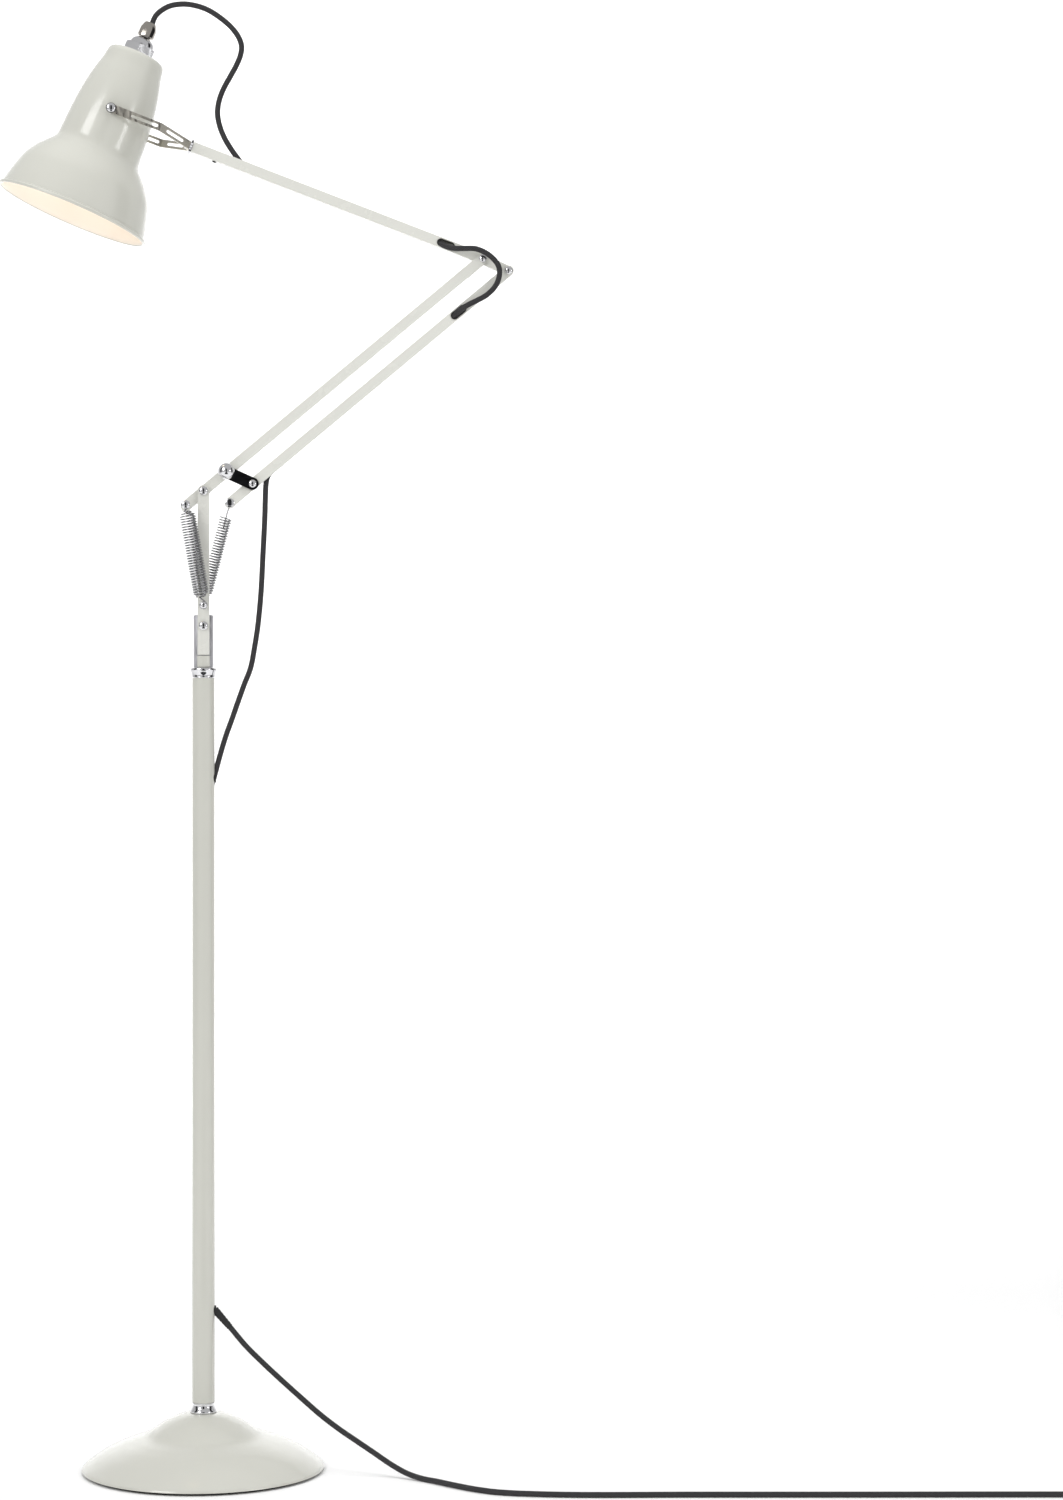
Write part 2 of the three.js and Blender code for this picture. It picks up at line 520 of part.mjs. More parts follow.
// Serrated friction washer at the end of the arm: a ring with a tooth for every notch
const WASHER_TEETH = 16;
const washerShape = new THREE.Shape();
for (let tooth = 0; tooth < WASHER_TEETH * 2; tooth += 1) {
  const angle = (tooth / WASHER_TEETH) * Math.PI;
  const radius = tooth % 2 ? 6.6 : 7.6;
  const point = [radius * Math.cos(angle), radius * Math.sin(angle)];
  if (tooth === 0) washerShape.moveTo(...point);
  else washerShape.lineTo(...point);
}
washerShape.closePath();
washerShape.holes.push(new THREE.Path().absarc(0, 0, PLUG_BORE, 0, Math.PI * 2, true));
const washer = new THREE.ExtrudeGeometry(washerShape, { depth: 2.2, bevelEnabled: false, curveSegments: 8 });
add('serrated_washer', washer.rotateY(Math.PI / 2), chrome, upperArm).position.x = UPPER_LENGTH + GAP;

// ---------------------------------------------------------------- yoke
// A flat strip bent to a fork: straight beside the shade, then drawn in to the end of the arm.
const YOKE_FOOT = UPPER_LENGTH + 2.8;
const YOKE_BEND = PIVOT_ALONG - 52;
const WALL = YOKE_OUTER - YOKE_INNER;
const FOOT_HALF = 7;
const yokePlan = new THREE.Shape(vec2([
  [PIVOT_ALONG + YOKE_HALF_HEIGHT, -YOKE_OUTER], [PIVOT_ALONG + YOKE_HALF_HEIGHT, -YOKE_INNER],
  [YOKE_BEND + 1, -YOKE_INNER], [YOKE_FOOT + WALL, -FOOT_HALF + 1], [YOKE_FOOT + WALL, FOOT_HALF - 1],
  [YOKE_BEND + 1, YOKE_INNER], [PIVOT_ALONG + YOKE_HALF_HEIGHT, YOKE_INNER],
  [PIVOT_ALONG + YOKE_HALF_HEIGHT, YOKE_OUTER], [YOKE_BEND, YOKE_OUTER],
  [YOKE_FOOT, FOOT_HALF], [YOKE_FOOT, -FOOT_HALF], [YOKE_BEND, -YOKE_OUTER],
]));
const yokeSide = stripShape(YOKE_FOOT - 9, PIVOT_ALONG, YOKE_HALF_HEIGHT);
const SLOT_HALF = 1.6;
const slotTool = (x0, x1) => plate(stripShape(x0 + SLOT_HALF, x1 - SLOT_HALF, SLOT_HALF), -60, 60);
add('yoke', cut(
  common(
    new THREE.ExtrudeGeometry(yokePlan, { depth: 30, bevelEnabled: false }).translate(0, 0, -15),
    plate(yokeSide, -60, 60),
  ),
  slotTool(YOKE_FOOT + 7, YOKE_BEND - 6),
  slotTool(YOKE_BEND + 3, YOKE_BEND + 31),
  alongHole(PIVOT_ALONG, -60, 60),
  rodX(PLUG_BORE, 20, YOKE_FOOT, 0, 0, 16),
), nickel, upperArm);
const yokeScrew = new THREE.LatheGeometry(vec2([
  [0, -18], [PLUG_BORE - GAP, -18], [PLUG_BORE - GAP, WALL + GAP], [3.6, WALL + GAP], [3.6, WALL + 2.2],
  [2.2, WALL + 3], [0, WALL + 3],
]), 16);
add('yoke_screw', yokeScrew.rotateZ(-Math.PI / 2), chrome, upperArm).position.x = YOKE_FOOT;

// ---------------------------------------------------------------- head
// Head pieces are turned about the shade's axis, with depth measured down from its top face.
const shadeTop = new THREE.Vector2(
  shadePivot.x + PIVOT_DEPTH * Math.sin(SHADE_TILT), shadePivot.y + PIVOT_DEPTH * Math.cos(SHADE_TILT));
const head = frameAt(shadeTop, -SHADE_TILT);
const headTurned = (profile, segments = 32) => turned(profile.map(([r, depth]) => [r, -depth]), segments);

const NECK_HOLE = 8.4;
const shadeOuter = smooth([
  [NECK_HOLE, 0], [22, 0.2], [26.6, 1.4], [29.2, 4.6], [31, 15], [34.8, 29], [38, 45], [40, 60],
  [41.6, 78], [42.4, 96], [43.2, 103.5], [46, 108.5], [51.5, 114.5], [59.5, 124.5], [65.8, 135],
  [70.2, 148], [73.4, 160], [75.6, 170],
], 14);
const shadeInner = insetProfile(shadeOuter, -SHADE_WALL);
const RIM_DEPTH = 171.5;
const RIM_RADIUS = 76.4;
const BEAD = 1.7;
const bead = [];
for (let step = 0; step <= 4; step += 1) {
  const turn = (-0.5 + step / 4 * 1.1) * Math.PI;
  bead.push([RIM_RADIUS + BEAD * Math.cos(turn), RIM_DEPTH + BEAD * Math.sin(turn)]);
}
const shadeProfile = [...shadeOuter, ...bead, ...shadeInner.reverse()];
const pivotDepthAt = new THREE.Vector2(0, -PIVOT_DEPTH);
add('shade', cut(
  headTurned([...shadeProfile, shadeProfile[0]], 30),
  rodY(HOLE_RADIUS, -60, 60, pivotDepthAt),
), paint, head);

for (const [name, side] of [['pivot_screw_near', -1], ['pivot_screw_far', 1]]) {
  const y = (distance) => side * distance;
  add(name, turnedY([
    [0, y(34.5)], [4, y(34.5)], [4, y(37.6)], [PIN_RADIUS, y(37.6)], [PIN_RADIUS, y(41.4)], [4, y(41.4)],
    [4, y(YOKE_INNER - GAP)], [PIN_RADIUS, y(YOKE_INNER - GAP)], [PIN_RADIUS, y(YOKE_OUTER + GAP)],
    [HEAD_RADIUS, y(YOKE_OUTER + GAP)], [HEAD_RADIUS, y(48.2)], [3, y(49.4)], [0, y(49.6)],
  ], pivotDepthAt), chrome, head);
}

add('lampholder', headTurned([
  [0, -8], [NECK_HOLE - GAP, -8], [NECK_HOLE - GAP, SHADE_WALL + GAP], [14, SHADE_WALL + 0.8], [16.5, 5],
  [16.5, 38], [15.6, 40], [13.6, 40], [13.6, 14], [0, 14],
], 20), holderPlastic, head);
add('bulb_cap', headTurned([
  [0, 14.5], [4, 14.5], [4.6, 16.5], [12.8, 18.5], [12.8, 42], [0, 42],
], 16), brass, head);
add('bulb_glass', headTurned([
  [0, 42.4], [12.4, 42.4], [13.4, 50], [17, 62], [23.6, 76], [28, 88], [29.5, 98], [28.6, 108],
  [24.6, 117.5], [17.6, 124], [9, 127.4], [0, 128.2],
], 20), frosted, head);

const hexNut = new THREE.CylinderGeometry(17, 17, 8.7, 6).rotateX(Math.PI / 2).translate(0, 0, GAP + 4.35);
add('hex_nut', cut(
  common(hexNut, turned([
    [0, GAP], [15.8, GAP], [17.4, 1.8], [17.4, 7.4], [15.4, 9], [0, 9],
  ], 36)),
  turned([[0, -1], [NECK_HOLE, -1], [NECK_HOLE, 12], [0, 12]], 20),
), chrome, head);
const CABLE_HOLE = FLEX_RADIUS + GAP;
add('dome_cap', turned([
  [CABLE_HOLE, 9 + GAP], [12, 9 + GAP], [11.9, 11], [10.8, 14], [8.4, 16.6], [5.6, 17.8], [CABLE_HOLE, 18],
  [CABLE_HOLE, 9 + GAP],
], 20), chrome, head);
add('cord_grip', turned([
  [CABLE_HOLE, 18 + GAP], [6.6, 18 + GAP], [8.4, 20], [8.4, 27.5], [6.4, 33], [5.4, 34.2], [CABLE_HOLE, 34.4],
  [CABLE_HOLE, 18 + GAP],
], 12), darkSteel, head);

// ---------------------------------------------------------------- flex
add('head_cord', flexTube([
  [-50.8, 0, 1446.5], [-48, 0, 1453], [-43.2, 0, 1457.6], [-33.3, 0, 1463.3], [-20.9, 0, 1465.5],
  [-8.4, 0, 1464.3], [4.5, 0, 1460.1], [16.4, 0, 1452.8], [27.4, 0, 1443.6], [34.9, 0, 1433.7],
  [37.9, 0, 1424.8], [36.9, 0, 1415.7], [32.4, 0, 1404.6], [26.4, 0, 1393.5], [19.9, 0, 1381.4],
  [15.5, 0, 1369.3], [14, 0, 1357.3], [15.9, 0, 1345.3], [20.4, 0, 1333.4], [26.5, 0, 1323], [31.6, 0, 1316],
], FLEX_RADIUS, 20), flexCloth);
add('elbow_cord', flexTube([
  [243.5, -9.9, 1226], [250.3, -12.2, 1223.6], [259.8, -13, 1223.5], [272.9, -13, 1223.2],
  [285.5, -13, 1217.3], [294.6, -13, 1207.4], [296.1, -13, 1198.9], [292.6, -13, 1187.3],
  [283.5, -13, 1177.1], [271, -13, 1170.6], [263.4, -12.2, 1166.6], [256.8, -9.9, 1162.4],
], FLEX_RADIUS, 14), flexCloth);
add('waist_cord', flexTube([
  [62.3, 0, 987.6], [61.3, 0, 954.4], [59.3, 0, 915.3], [57.3, 0, 877.3], [54.3, 0, 845.2], [51.3, 0, 825.2],
  [46.9, 0, 802.1], [40.4, 0, 785.1], [32.9, 0, 764], [28.4, 0, 751], [23.4, 0, 735], [19.6, 0, 716],
  [17.6, 0, 704], [16.6, 0, 697],
], FLEX_RADIUS, 22), flexCloth);
const FLEX_REST = FLEX_RADIUS + 0.1; // height of the flex's centre as it lies on the floor
const coilBottom = COIL_CENTRE.y - COIL_OUTER;
add('mains_cord', flexTube([
  [15, 0, 157.5], [26.4, -1, 142.7], [42.3, -3, 123.8], [58.3, -5, 107.9], [73.1, -8, 94.2], [94, -12, 75.5],
  [117.7, -18, 55.3], [135.4, -24, 42.5], [152.1, -31, 32], [168.7, -39, 21.8], [185.1, -49, 12],
  [199.5, -60, 5.6], [213, -72, FLEX_REST], [228, -88, FLEX_REST], [246, -109, FLEX_REST],
  [265, -128, FLEX_REST], [286, -142, FLEX_REST], [342, -157, FLEX_REST], [476, -170, FLEX_REST],
  [620, -184, FLEX_REST], [760, -198, FLEX_REST], [840, -208, FLEX_REST],
  [COIL_CENTRE.x - 3, coilBottom - FLEX_RADIUS - GAP, FLEX_REST],
], FLEX_RADIUS, 72), flexCloth);
const coilRing = turned(ringProfile(COIL_INNER, COIL_OUTER, 0.1, COIL_HEIGHT), 28);
add('cord_coil', coilRing, flexCloth).position.set(COIL_CENTRE.x, COIL_CENTRE.y, 0);
add('plug_tail', flexTube([
  [COIL_CENTRE.x + 3, coilBottom - FLEX_RADIUS - GAP, FLEX_REST],
  [COIL_CENTRE.x + 22, coilBottom - FLEX_RADIUS - GAP, 4.5], [COIL_CENTRE.x + 42, coilBottom - 5, 9],
  [PLUG_AT.x - 11, PLUG_AT.y - 1.5, PLUG_REST],
], FLEX_RADIUS, 8), flexCloth);

// Three-pin plug lying on its back, its flex entering on the left
const plug = new THREE.Group();
plug.position.set(PLUG_AT.x, PLUG_AT.y, PLUG_REST);
plug.rotation.z = PLUG_TURN;
group.add(plug);
const plugShape = new THREE.Shape(vec2([
  [-9, -9], [2, -24], [24, -25], [30, -20], [30, 20], [24, 25], [2, 24], [-9, 9],
]));
const PLUG_EDGE = 2;
add('plug_body', new THREE.ExtrudeGeometry(plugShape, {
  depth: (PLUG_REST - PLUG_EDGE) * 2 - 0.2, bevelEnabled: true, bevelThickness: PLUG_EDGE,
  bevelSize: PLUG_EDGE, bevelOffset: -PLUG_EDGE, bevelSegments: 1,
}).translate(0, 0, PLUG_EDGE - PLUG_REST + 0.1), plugPlastic, plug);
for (const [name, across, length, width] of [
  ['plug_pin_earth', 0, 22, 8], ['plug_pin_live', -11, 17, 6.4], ['plug_pin_neutral', 11, 17, 6.4],
]) {
  const pin = box(30 + GAP, 30 + length, across - width / 2, across + width / 2, -2, 2);
  add(name, pin, brass, plug);
}

export default group;
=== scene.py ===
"""Adjustable arm floor lamp: the looks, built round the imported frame.

The frame is in metres with +Z up, and the camera is on the -Y side.
Sizes in this file are in mm, apart from the studio's (camera, backdrop and lights), which are in metres.
"""

import math

import bmesh
import bpy
import numpy as np
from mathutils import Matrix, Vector


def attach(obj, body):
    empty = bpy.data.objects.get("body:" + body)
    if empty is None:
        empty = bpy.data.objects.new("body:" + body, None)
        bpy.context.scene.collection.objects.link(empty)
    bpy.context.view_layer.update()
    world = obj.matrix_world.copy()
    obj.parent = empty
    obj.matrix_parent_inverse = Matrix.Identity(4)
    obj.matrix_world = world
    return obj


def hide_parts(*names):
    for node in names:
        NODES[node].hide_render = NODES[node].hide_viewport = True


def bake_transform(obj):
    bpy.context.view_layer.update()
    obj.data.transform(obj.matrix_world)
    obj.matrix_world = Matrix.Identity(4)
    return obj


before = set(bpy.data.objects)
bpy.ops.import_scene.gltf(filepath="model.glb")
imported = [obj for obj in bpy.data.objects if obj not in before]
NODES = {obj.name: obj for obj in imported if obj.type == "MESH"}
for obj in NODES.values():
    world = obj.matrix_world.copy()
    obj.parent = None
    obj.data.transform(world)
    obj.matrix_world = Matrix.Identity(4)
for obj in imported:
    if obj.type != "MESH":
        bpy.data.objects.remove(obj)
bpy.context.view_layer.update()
MM = 0.001

# ---------------------------------------------------------------- sizes shared with the CAD
SHOULDER = (0.0, 978.6)
ANCHOR = (0.0, 864.2)
LOWER_ANGLE = math.radians(40.16)
CRANK_ANGLE = math.radians(-24.0)
UPPER_ANGLE = math.radians(159.7)
LOWER_LENGTH = 366.2
TAIL_LENGTH = 23.1
LINK_ALONG = 29.6
CRANK_LENGTH = 28.65
UPPER_LENGTH = 310.0
PIVOT_ALONG = 395.0
SHADE_TILT = math.radians(22.2)
PIVOT_DEPTH = 67.0
YOKE_GAP = 2.8
FLEX_RADIUS = 2.75
CHEEK_OUTER = 8.9
CHEEK_HALF_WIDTH = 5.9
CHEEK_FOOT = 815.0
BAR_HALF = 5.2
HEAD_GAP = 0.3
MAINS_HOLE = 160.0
WAIST_HOLE = 692.0


def polar(start, angle, length):
    """The (x, z) point at a length and angle from another."""
    return (start[0] + length * math.cos(angle), start[1] + length * math.sin(angle))


TAIL = polar(SHOULDER, LOWER_ANGLE, -TAIL_LENGTH)
TIE_FOOT = polar(SHOULDER, CRANK_ANGLE, CRANK_LENGTH)
LINK_PIVOT = polar(SHOULDER, LOWER_ANGLE, LINK_ALONG)
LINK_END = polar(LINK_PIVOT, CRANK_ANGLE, CRANK_LENGTH)
ELBOW = polar(SHOULDER, LOWER_ANGLE, LOWER_LENGTH)
TIE_HEAD = polar(ELBOW, CRANK_ANGLE, CRANK_LENGTH)
SHADE_PIVOT = polar(ELBOW, UPPER_ANGLE, PIVOT_ALONG)
YOKE_FOOT = polar(ELBOW, UPPER_ANGLE, UPPER_LENGTH + YOKE_GAP)
SHADE_UP = Vector((math.sin(SHADE_TILT), 0.0, math.cos(SHADE_TILT)))
SHADE_TOP = Vector((SHADE_PIVOT[0], 0.0, SHADE_PIVOT[1])) + SHADE_UP * PIVOT_DEPTH
ARM_OUT = Vector((math.cos(UPPER_ANGLE), 0.0, math.sin(UPPER_ANGLE)))


# ---------------------------------------------------------------- shader building
# A Mix node has its colour sockets after the float and vector ones
MIX_COLOUR_A = 6
MIX_COLOUR_B = 7
MIX_COLOUR_RESULT = 2
COAT_ROUGHNESS = 0.06
NOISE_ROUGHNESS = 0.55


class Surface:
    """A Principled material and short ways to add nodes to it."""

    def __init__(self, name, colour, roughness, metallic=0.0, coat=0.0):
        self.material = bpy.data.materials.new(name)
        self.material.use_nodes = True
        self.tree = self.material.node_tree
        self.shader = self.tree.nodes["Principled BSDF"]
        self.set("Base Color", (*colour, 1.0))
        self.set("Roughness", roughness)
        self.set("Metallic", metallic)
        self.set("Coat Weight", coat)
        self.set("Coat Roughness", COAT_ROUGHNESS)
        self.base = colour

    def set(self, socket, value):
        """Gives one of the shader's own sockets a value."""
        self.shader.inputs[socket].default_value = value

    def node(self, kind, links=None, **values):
        """Adds a node. links feeds its sockets from other sockets or with plain values."""
        made = self.tree.nodes.new(kind)
        for key, value in values.items():
            setattr(made, key, value)
        for socket, source in (links or {}).items():
            if hasattr(source, "links"):
                self.tree.links.new(source, made.inputs[socket])
            else:
                made.inputs[socket].default_value = source
        return made

    def link(self, source, socket):
        """Feeds one of the shader's own sockets from another node."""
        self.tree.links.new(source, self.shader.inputs[socket])

    def math(self, operation, first, second=0.0):
        """The output of a Math node."""
        return self.node("ShaderNodeMath", {0: first, 1: second}, operation=operation).outputs[0]

    def noise(self, scale, detail, stretch=None):
        """Noise in the object's own space, drawn out along the axes that stretch makes small."""
        place = self.node("ShaderNodeTexCoord").outputs["Object"]
        if stretch:
            place = self.node("ShaderNodeMapping", {"Vector": place, "Scale": stretch}).outputs[0]
        links = {"Vector": place, "Scale": scale, "Detail": detail, "Roughness": NOISE_ROUGHNESS}
        return self.node("ShaderNodeTexNoise", links).outputs["Fac"]

    def spread(self, source, low, high, from_low=0.3, from_high=0.7):
        """Maps the middle of a noise onto a range of values."""
        links = {"Value": source, "From Min": from_low, "From Max": from_high, "To Min": low, "To Max": high}
        return self.node("ShaderNodeMapRange", links).outputs[0]

    def tint(self, source, darker, lighter):
        """Colour that wanders between two shades of the base with a noise."""
        low = tuple(c * darker for c in self.base) + (1.0,)
        high = tuple(min(c * lighter, 1.0) for c in self.base) + (1.0,)
        mix = self.node("ShaderNodeMix", {"Factor": self.spread(source, 0, 1)}, data_type="RGBA")
        mix.inputs[MIX_COLOUR_A].default_value = low
        mix.inputs[MIX_COLOUR_B].default_value = high
        self.link(mix.outputs[MIX_COLOUR_RESULT], "Base Color")

    def bump(self, height, strength, distance, before=None):
        """Relief from a height, on top of an earlier bump where one is given."""
        links = {"Height": height, "Strength": strength, "Distance": distance}
        if before:
            links["Normal"] = before
        made = self.node("ShaderNodeBump", links).outputs[0]
        self.link(made, "Normal")
        return made


def enamel(name, colour, roughness):
    """Sprayed gloss enamel: a faint orange peel, a slow drift of tone and tiny changes of gloss."""
    made = Surface(name, colour, roughness, coat=0.35)
    made.tint(made.noise(9.0, 2.0), 0.985, 1.015)
    made.link(made.spread(made.noise(55.0, 4.0), roughness * 0.8, roughness * 1.25), "Roughness")
    made.bump(made.noise(650.0, 2.0), 0.05, 0.0004)
    return made.material


def polished(name, colour, roughness):
    """Plated metal with fine wiping marks and a few duller patches."""
    made = Surface(name, colour, roughness, metallic=1.0)
    marks = made.noise(240.0, 5.0, stretch=(1.0, 1.0, 0.15))
    made.link(made.spread(marks, roughness * 0.6, roughness * 1.9), "Roughness")
    made.tint(made.noise(60.0, 2.0), 0.97, 1.02)
    return made.material


def brushed(name, colour, roughness, stretch):
    """Satin metal with a grain drawn out along the axis that stretch makes small."""
    made = Surface(name, colour, roughness, metallic=1.0)
    grain = made.noise(420.0, 6.0, stretch=stretch)
    made.link(made.spread(grain, roughness * 0.7, roughness * 1.5), "Roughness")
    made.tint(grain, 0.88, 1.06)
    made.bump(grain, 0.12, 0.0002)
    return made.material


def moulded(name, colour, roughness, grain=900.0, strength=0.12):
    """Moulded rubber or plastic with a fine grain."""
    made = Surface(name, colour, roughness)
    made.tint(made.noise(40.0, 3.0), 0.92, 1.08)
    made.link(made.spread(made.noise(120.0, 3.0), roughness * 0.85, roughness * 1.15), "Roughness")
    made.bump(made.noise(grain, 3.0), strength, 0.0003)
    return made.material


YARNS_ROUND = 8.0
YARNS_PER_METRE = 340.0


def braided():
    """Textile braid over a flex: two sets of yarns that pass over and under each other round the tube."""
    made = Surface("flex_braid", (0.021, 0.020, 0.022), 0.72)
    uv = made.node("ShaderNodeTexCoord").outputs["UV"]
    parts = made.node("ShaderNodeSeparateXYZ", {0: uv})
    around = made.math("MULTIPLY", parts.outputs[0], YARNS_ROUND)
    along = made.math("MULTIPLY", parts.outputs[1], YARNS_PER_METRE)
    first = made.math("ADD", around, along)
    second = made.math("SUBTRACT", around, along)
    waves = [made.math("SINE", made.math("MULTIPLY", turn, math.pi)) for turn in (first, second)]
    ridge = [made.math("ABSOLUTE", wave) for wave in waves]
    over = made.math("MULTIPLY", *waves)
    gate = made.spread(over, 0.0, 1.0, -0.3, 0.3)
    upper = made.math("MULTIPLY", ridge[0], gate)
    lower = made.math("MULTIPLY", ridge[1], made.math("SUBTRACT", 1.0, gate))
    height = made.math("ADD", upper, lower)
    fuzz = made.noise(2600.0, 4.0)
    # Yarn colour darker in the hollows between yarns and lighter on their crowns: painted shade and painted
    # light, over a random fuzz
    tone = made.math("ADD", made.math("MULTIPLY", height, 0.7), made.math("MULTIPLY", fuzz, 0.3))
    made.tint(tone, 0.5, 1.6)
    first_bump = made.bump(height, 0.55, 0.0004)
    made.bump(fuzz, 0.2, 0.0002, first_bump)
    made.set("Sheen Weight", 0.08)
    made.set("Sheen Roughness", 0.4)
    return made.material


def cast():
    """Rough cast iron."""
    made = Surface("cast_iron", (0.09, 0.09, 0.095), 0.75, metallic=0.6)
    made.tint(made.noise(70.0, 6.0), 0.7, 1.3)
    made.bump(made.noise(420.0, 6.0), 0.5, 0.0008)
    return made.material


GLOW = 1.4


def glowing():
    """Frosted lamp glass, lit from inside, its glow changing a little with a noise."""
    made = Surface("bulb_glow", (1.0, 0.95, 0.86), 0.25)
    made.set("Emission Color", (1.0, 0.78, 0.52, 1.0))
    made.link(made.spread(made.noise(30.0, 2.0), GLOW * 0.95, GLOW * 1.05), "Emission Strength")
    return made.material


PAINT = enamel("linen_enamel", (0.60, 0.60, 0.545), 0.2)
# The arms and cheeks wear the linen enamel made lighter: painted light, for how brightly they are lit
LIGHTER_ARM_PAINT = enamel("painted_light_arm_enamel", (0.73, 0.73, 0.68), 0.24)
LINING = enamel("shade_lining", (0.88, 0.84, 0.785), 0.35)
CHROME = polished("chrome_plate", (0.80, 0.80, 0.82), 0.055)
NICKEL = brushed("nickel_plate", (0.66, 0.63, 0.56), 0.34, (1.0, 1.0, 0.2))
GRIP_METAL = polished("dark_chrome", (0.50, 0.47, 0.43), 0.09)
SATIN = brushed("satin_chrome", (0.74, 0.74, 0.77), 0.45, (1.0, 1.0, 0.2))
SPRING_STEEL = polished("spring_steel", (0.39, 0.39, 0.40), 0.16)
DARK_METAL = brushed("black_oxide", (0.025, 0.025, 0.028), 0.32, (0.2, 1.0, 1.0))
IRON = cast()
RUBBER = moulded("rubber", (0.018, 0.018, 0.018), 0.7)
PLASTIC = moulded("plug_plastic", (0.015, 0.015, 0.017), 0.38, 1400.0, 0.06)
HOLDER = moulded("holder_plastic", (0.80, 0.77, 0.70), 0.35, 1400.0, 0.05)
BRASS = brushed("brass", (0.66, 0.46, 0.17), 0.2, (0.2, 1.0, 1.0))
BRAID = braided()
BULB = glowing()


# ---------------------------------------------------------------- mesh building
def finished(name, mesh, materials, body, replaced, sharp):
    """Puts a mesh in the scene, smooth except at edges sharper than a limit, and rides it on a body."""
    work = bmesh.new()
    work.from_mesh(mesh)
    bmesh.ops.recalc_face_normals(work, faces=work.faces)
    for edge in work.edges:
        edge.smooth = len(edge.link_faces) == 2 and edge.calc_face_angle(0.0) < math.radians(sharp)
    for face in work.faces:
        face.smooth = True
    work.to_mesh(mesh)
    work.free()
    piece = bpy.data.objects.new(name, mesh)
    bpy.context.scene.collection.objects.link(piece)
    for material in materials if isinstance(materials, (list, tuple)) else [materials]:
        mesh.materials.append(material)
    if body:
        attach(piece, body)
    if replaced:
        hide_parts(*replaced)
    return piece


def across(direction):
    """Two unit vectors square to a direction and to each other."""
    direction = Vector(direction).normalized()
    helper = Vector((0.0, 1.0, 0.0)) if abs(direction.y) < 0.9 else Vector((1.0, 0.0, 0.0))
    side = direction.cross(helper).normalized()
    return side, direction.cross(side).normalized()


def revolve(name, profile, at, direction, materials, body, replaced, segments=96, sharp=30.0,
            material_of=None):
    """Turns (radius, distance) pairs, in mm, about a line through `at` in `direction`.
    A profile whose ends meet closes on itself; otherwise its ends lie on the axis.
    material_of(index) picks a slot for the band after a profile point."""
    direction = Vector(direction).normalized()
    side, other = across(direction)
    closed = profile[0] == profile[-1]
    points = profile[:-1] if closed else profile
    mesh = bpy.data.meshes.new(name)
    work = bmesh.new()
    rings = []
    for radius, distance in points:
        centre = Vector(at) + direction * distance
        if radius < 1e-6:
            rings.append([work.verts.new(centre * MM)])
            continue
        ring = []
        for step in range(segments):
            angle = 2 * math.pi * step / segments
            spoke = side * math.cos(angle) + other * math.sin(angle)
            ring.append(work.verts.new((centre + spoke * radius) * MM))
        rings.append(ring)
    bands = len(points) if closed else len(points) - 1
    for index in range(bands):
        near, far = rings[index], rings[(index + 1) % len(points)]
        for step in range(segments):
            after = (step + 1) % segments
            if len(near) == 1:
                face = work.faces.new((near[0], far[step], far[after]))
            elif len(far) == 1:
                face = work.faces.new((near[step], far[0], near[after]))
            else:
                face = work.faces.new((near[step], far[step], far[after], near[after]))
            face.material_index = material_of(index) if material_of else 0
    work.to_mesh(mesh)
    work.free()
    return finished(name, mesh, materials, body, replaced, sharp)


def curve_through(points, step):
    """Centripetal Catmull-Rom line through points, evenly spaced, as an array. Any unit."""
    given = np.array(points, float)
    ends = np.vstack([2 * given[0] - given[1], given, 2 * given[-1] - given[-2]])
    dense = []
    for i in range(1, len(ends) - 2):
        p0, p1, p2, p3 = ends[i - 1], ends[i], ends[i + 1], ends[i + 2]
        t1 = np.linalg.norm(p1 - p0) ** 0.5
        t2 = t1 + np.linalg.norm(p2 - p1) ** 0.5
        t3 = t2 + np.linalg.norm(p3 - p2) ** 0.5
        for t in np.linspace(t1, t2, 24, endpoint=False):
            a1 = p0 * (t1 - t) / t1 + p1 * t / t1
            a2 = p1 * (t2 - t) / (t2 - t1) + p2 * (t - t1) / (t2 - t1)
            a3 = p2 * (t3 - t) / (t3 - t2) + p3 * (t - t2) / (t3 - t2)
            b1 = a1 * (t2 - t) / t2 + a2 * t / t2
            b2 = a2 * (t3 - t) / (t3 - t1) + a3 * (t - t1) / (t3 - t1)
            dense.append(b1 * (t2 - t) / (t2 - t1) + b2 * (t - t1) / (t2 - t1))
    dense.append(given[-1])
    dense = np.array(dense)
    reach = np.concatenate([[0.0], np.cumsum(np.linalg.norm(np.diff(dense, axis=0), axis=1))])
    count = max(int(round(reach[-1] / step)), 2)
    wanted = np.linspace(0.0, reach[-1], count + 1)
    return np.stack([np.interp(wanted, reach, dense[:, k]) for k in range(given.shape[1])], axis=1)


def profile_through(points, step):
    """The same line as a list of pairs, for an outline."""
    return [tuple(p) for p in curve_through(points, step)]


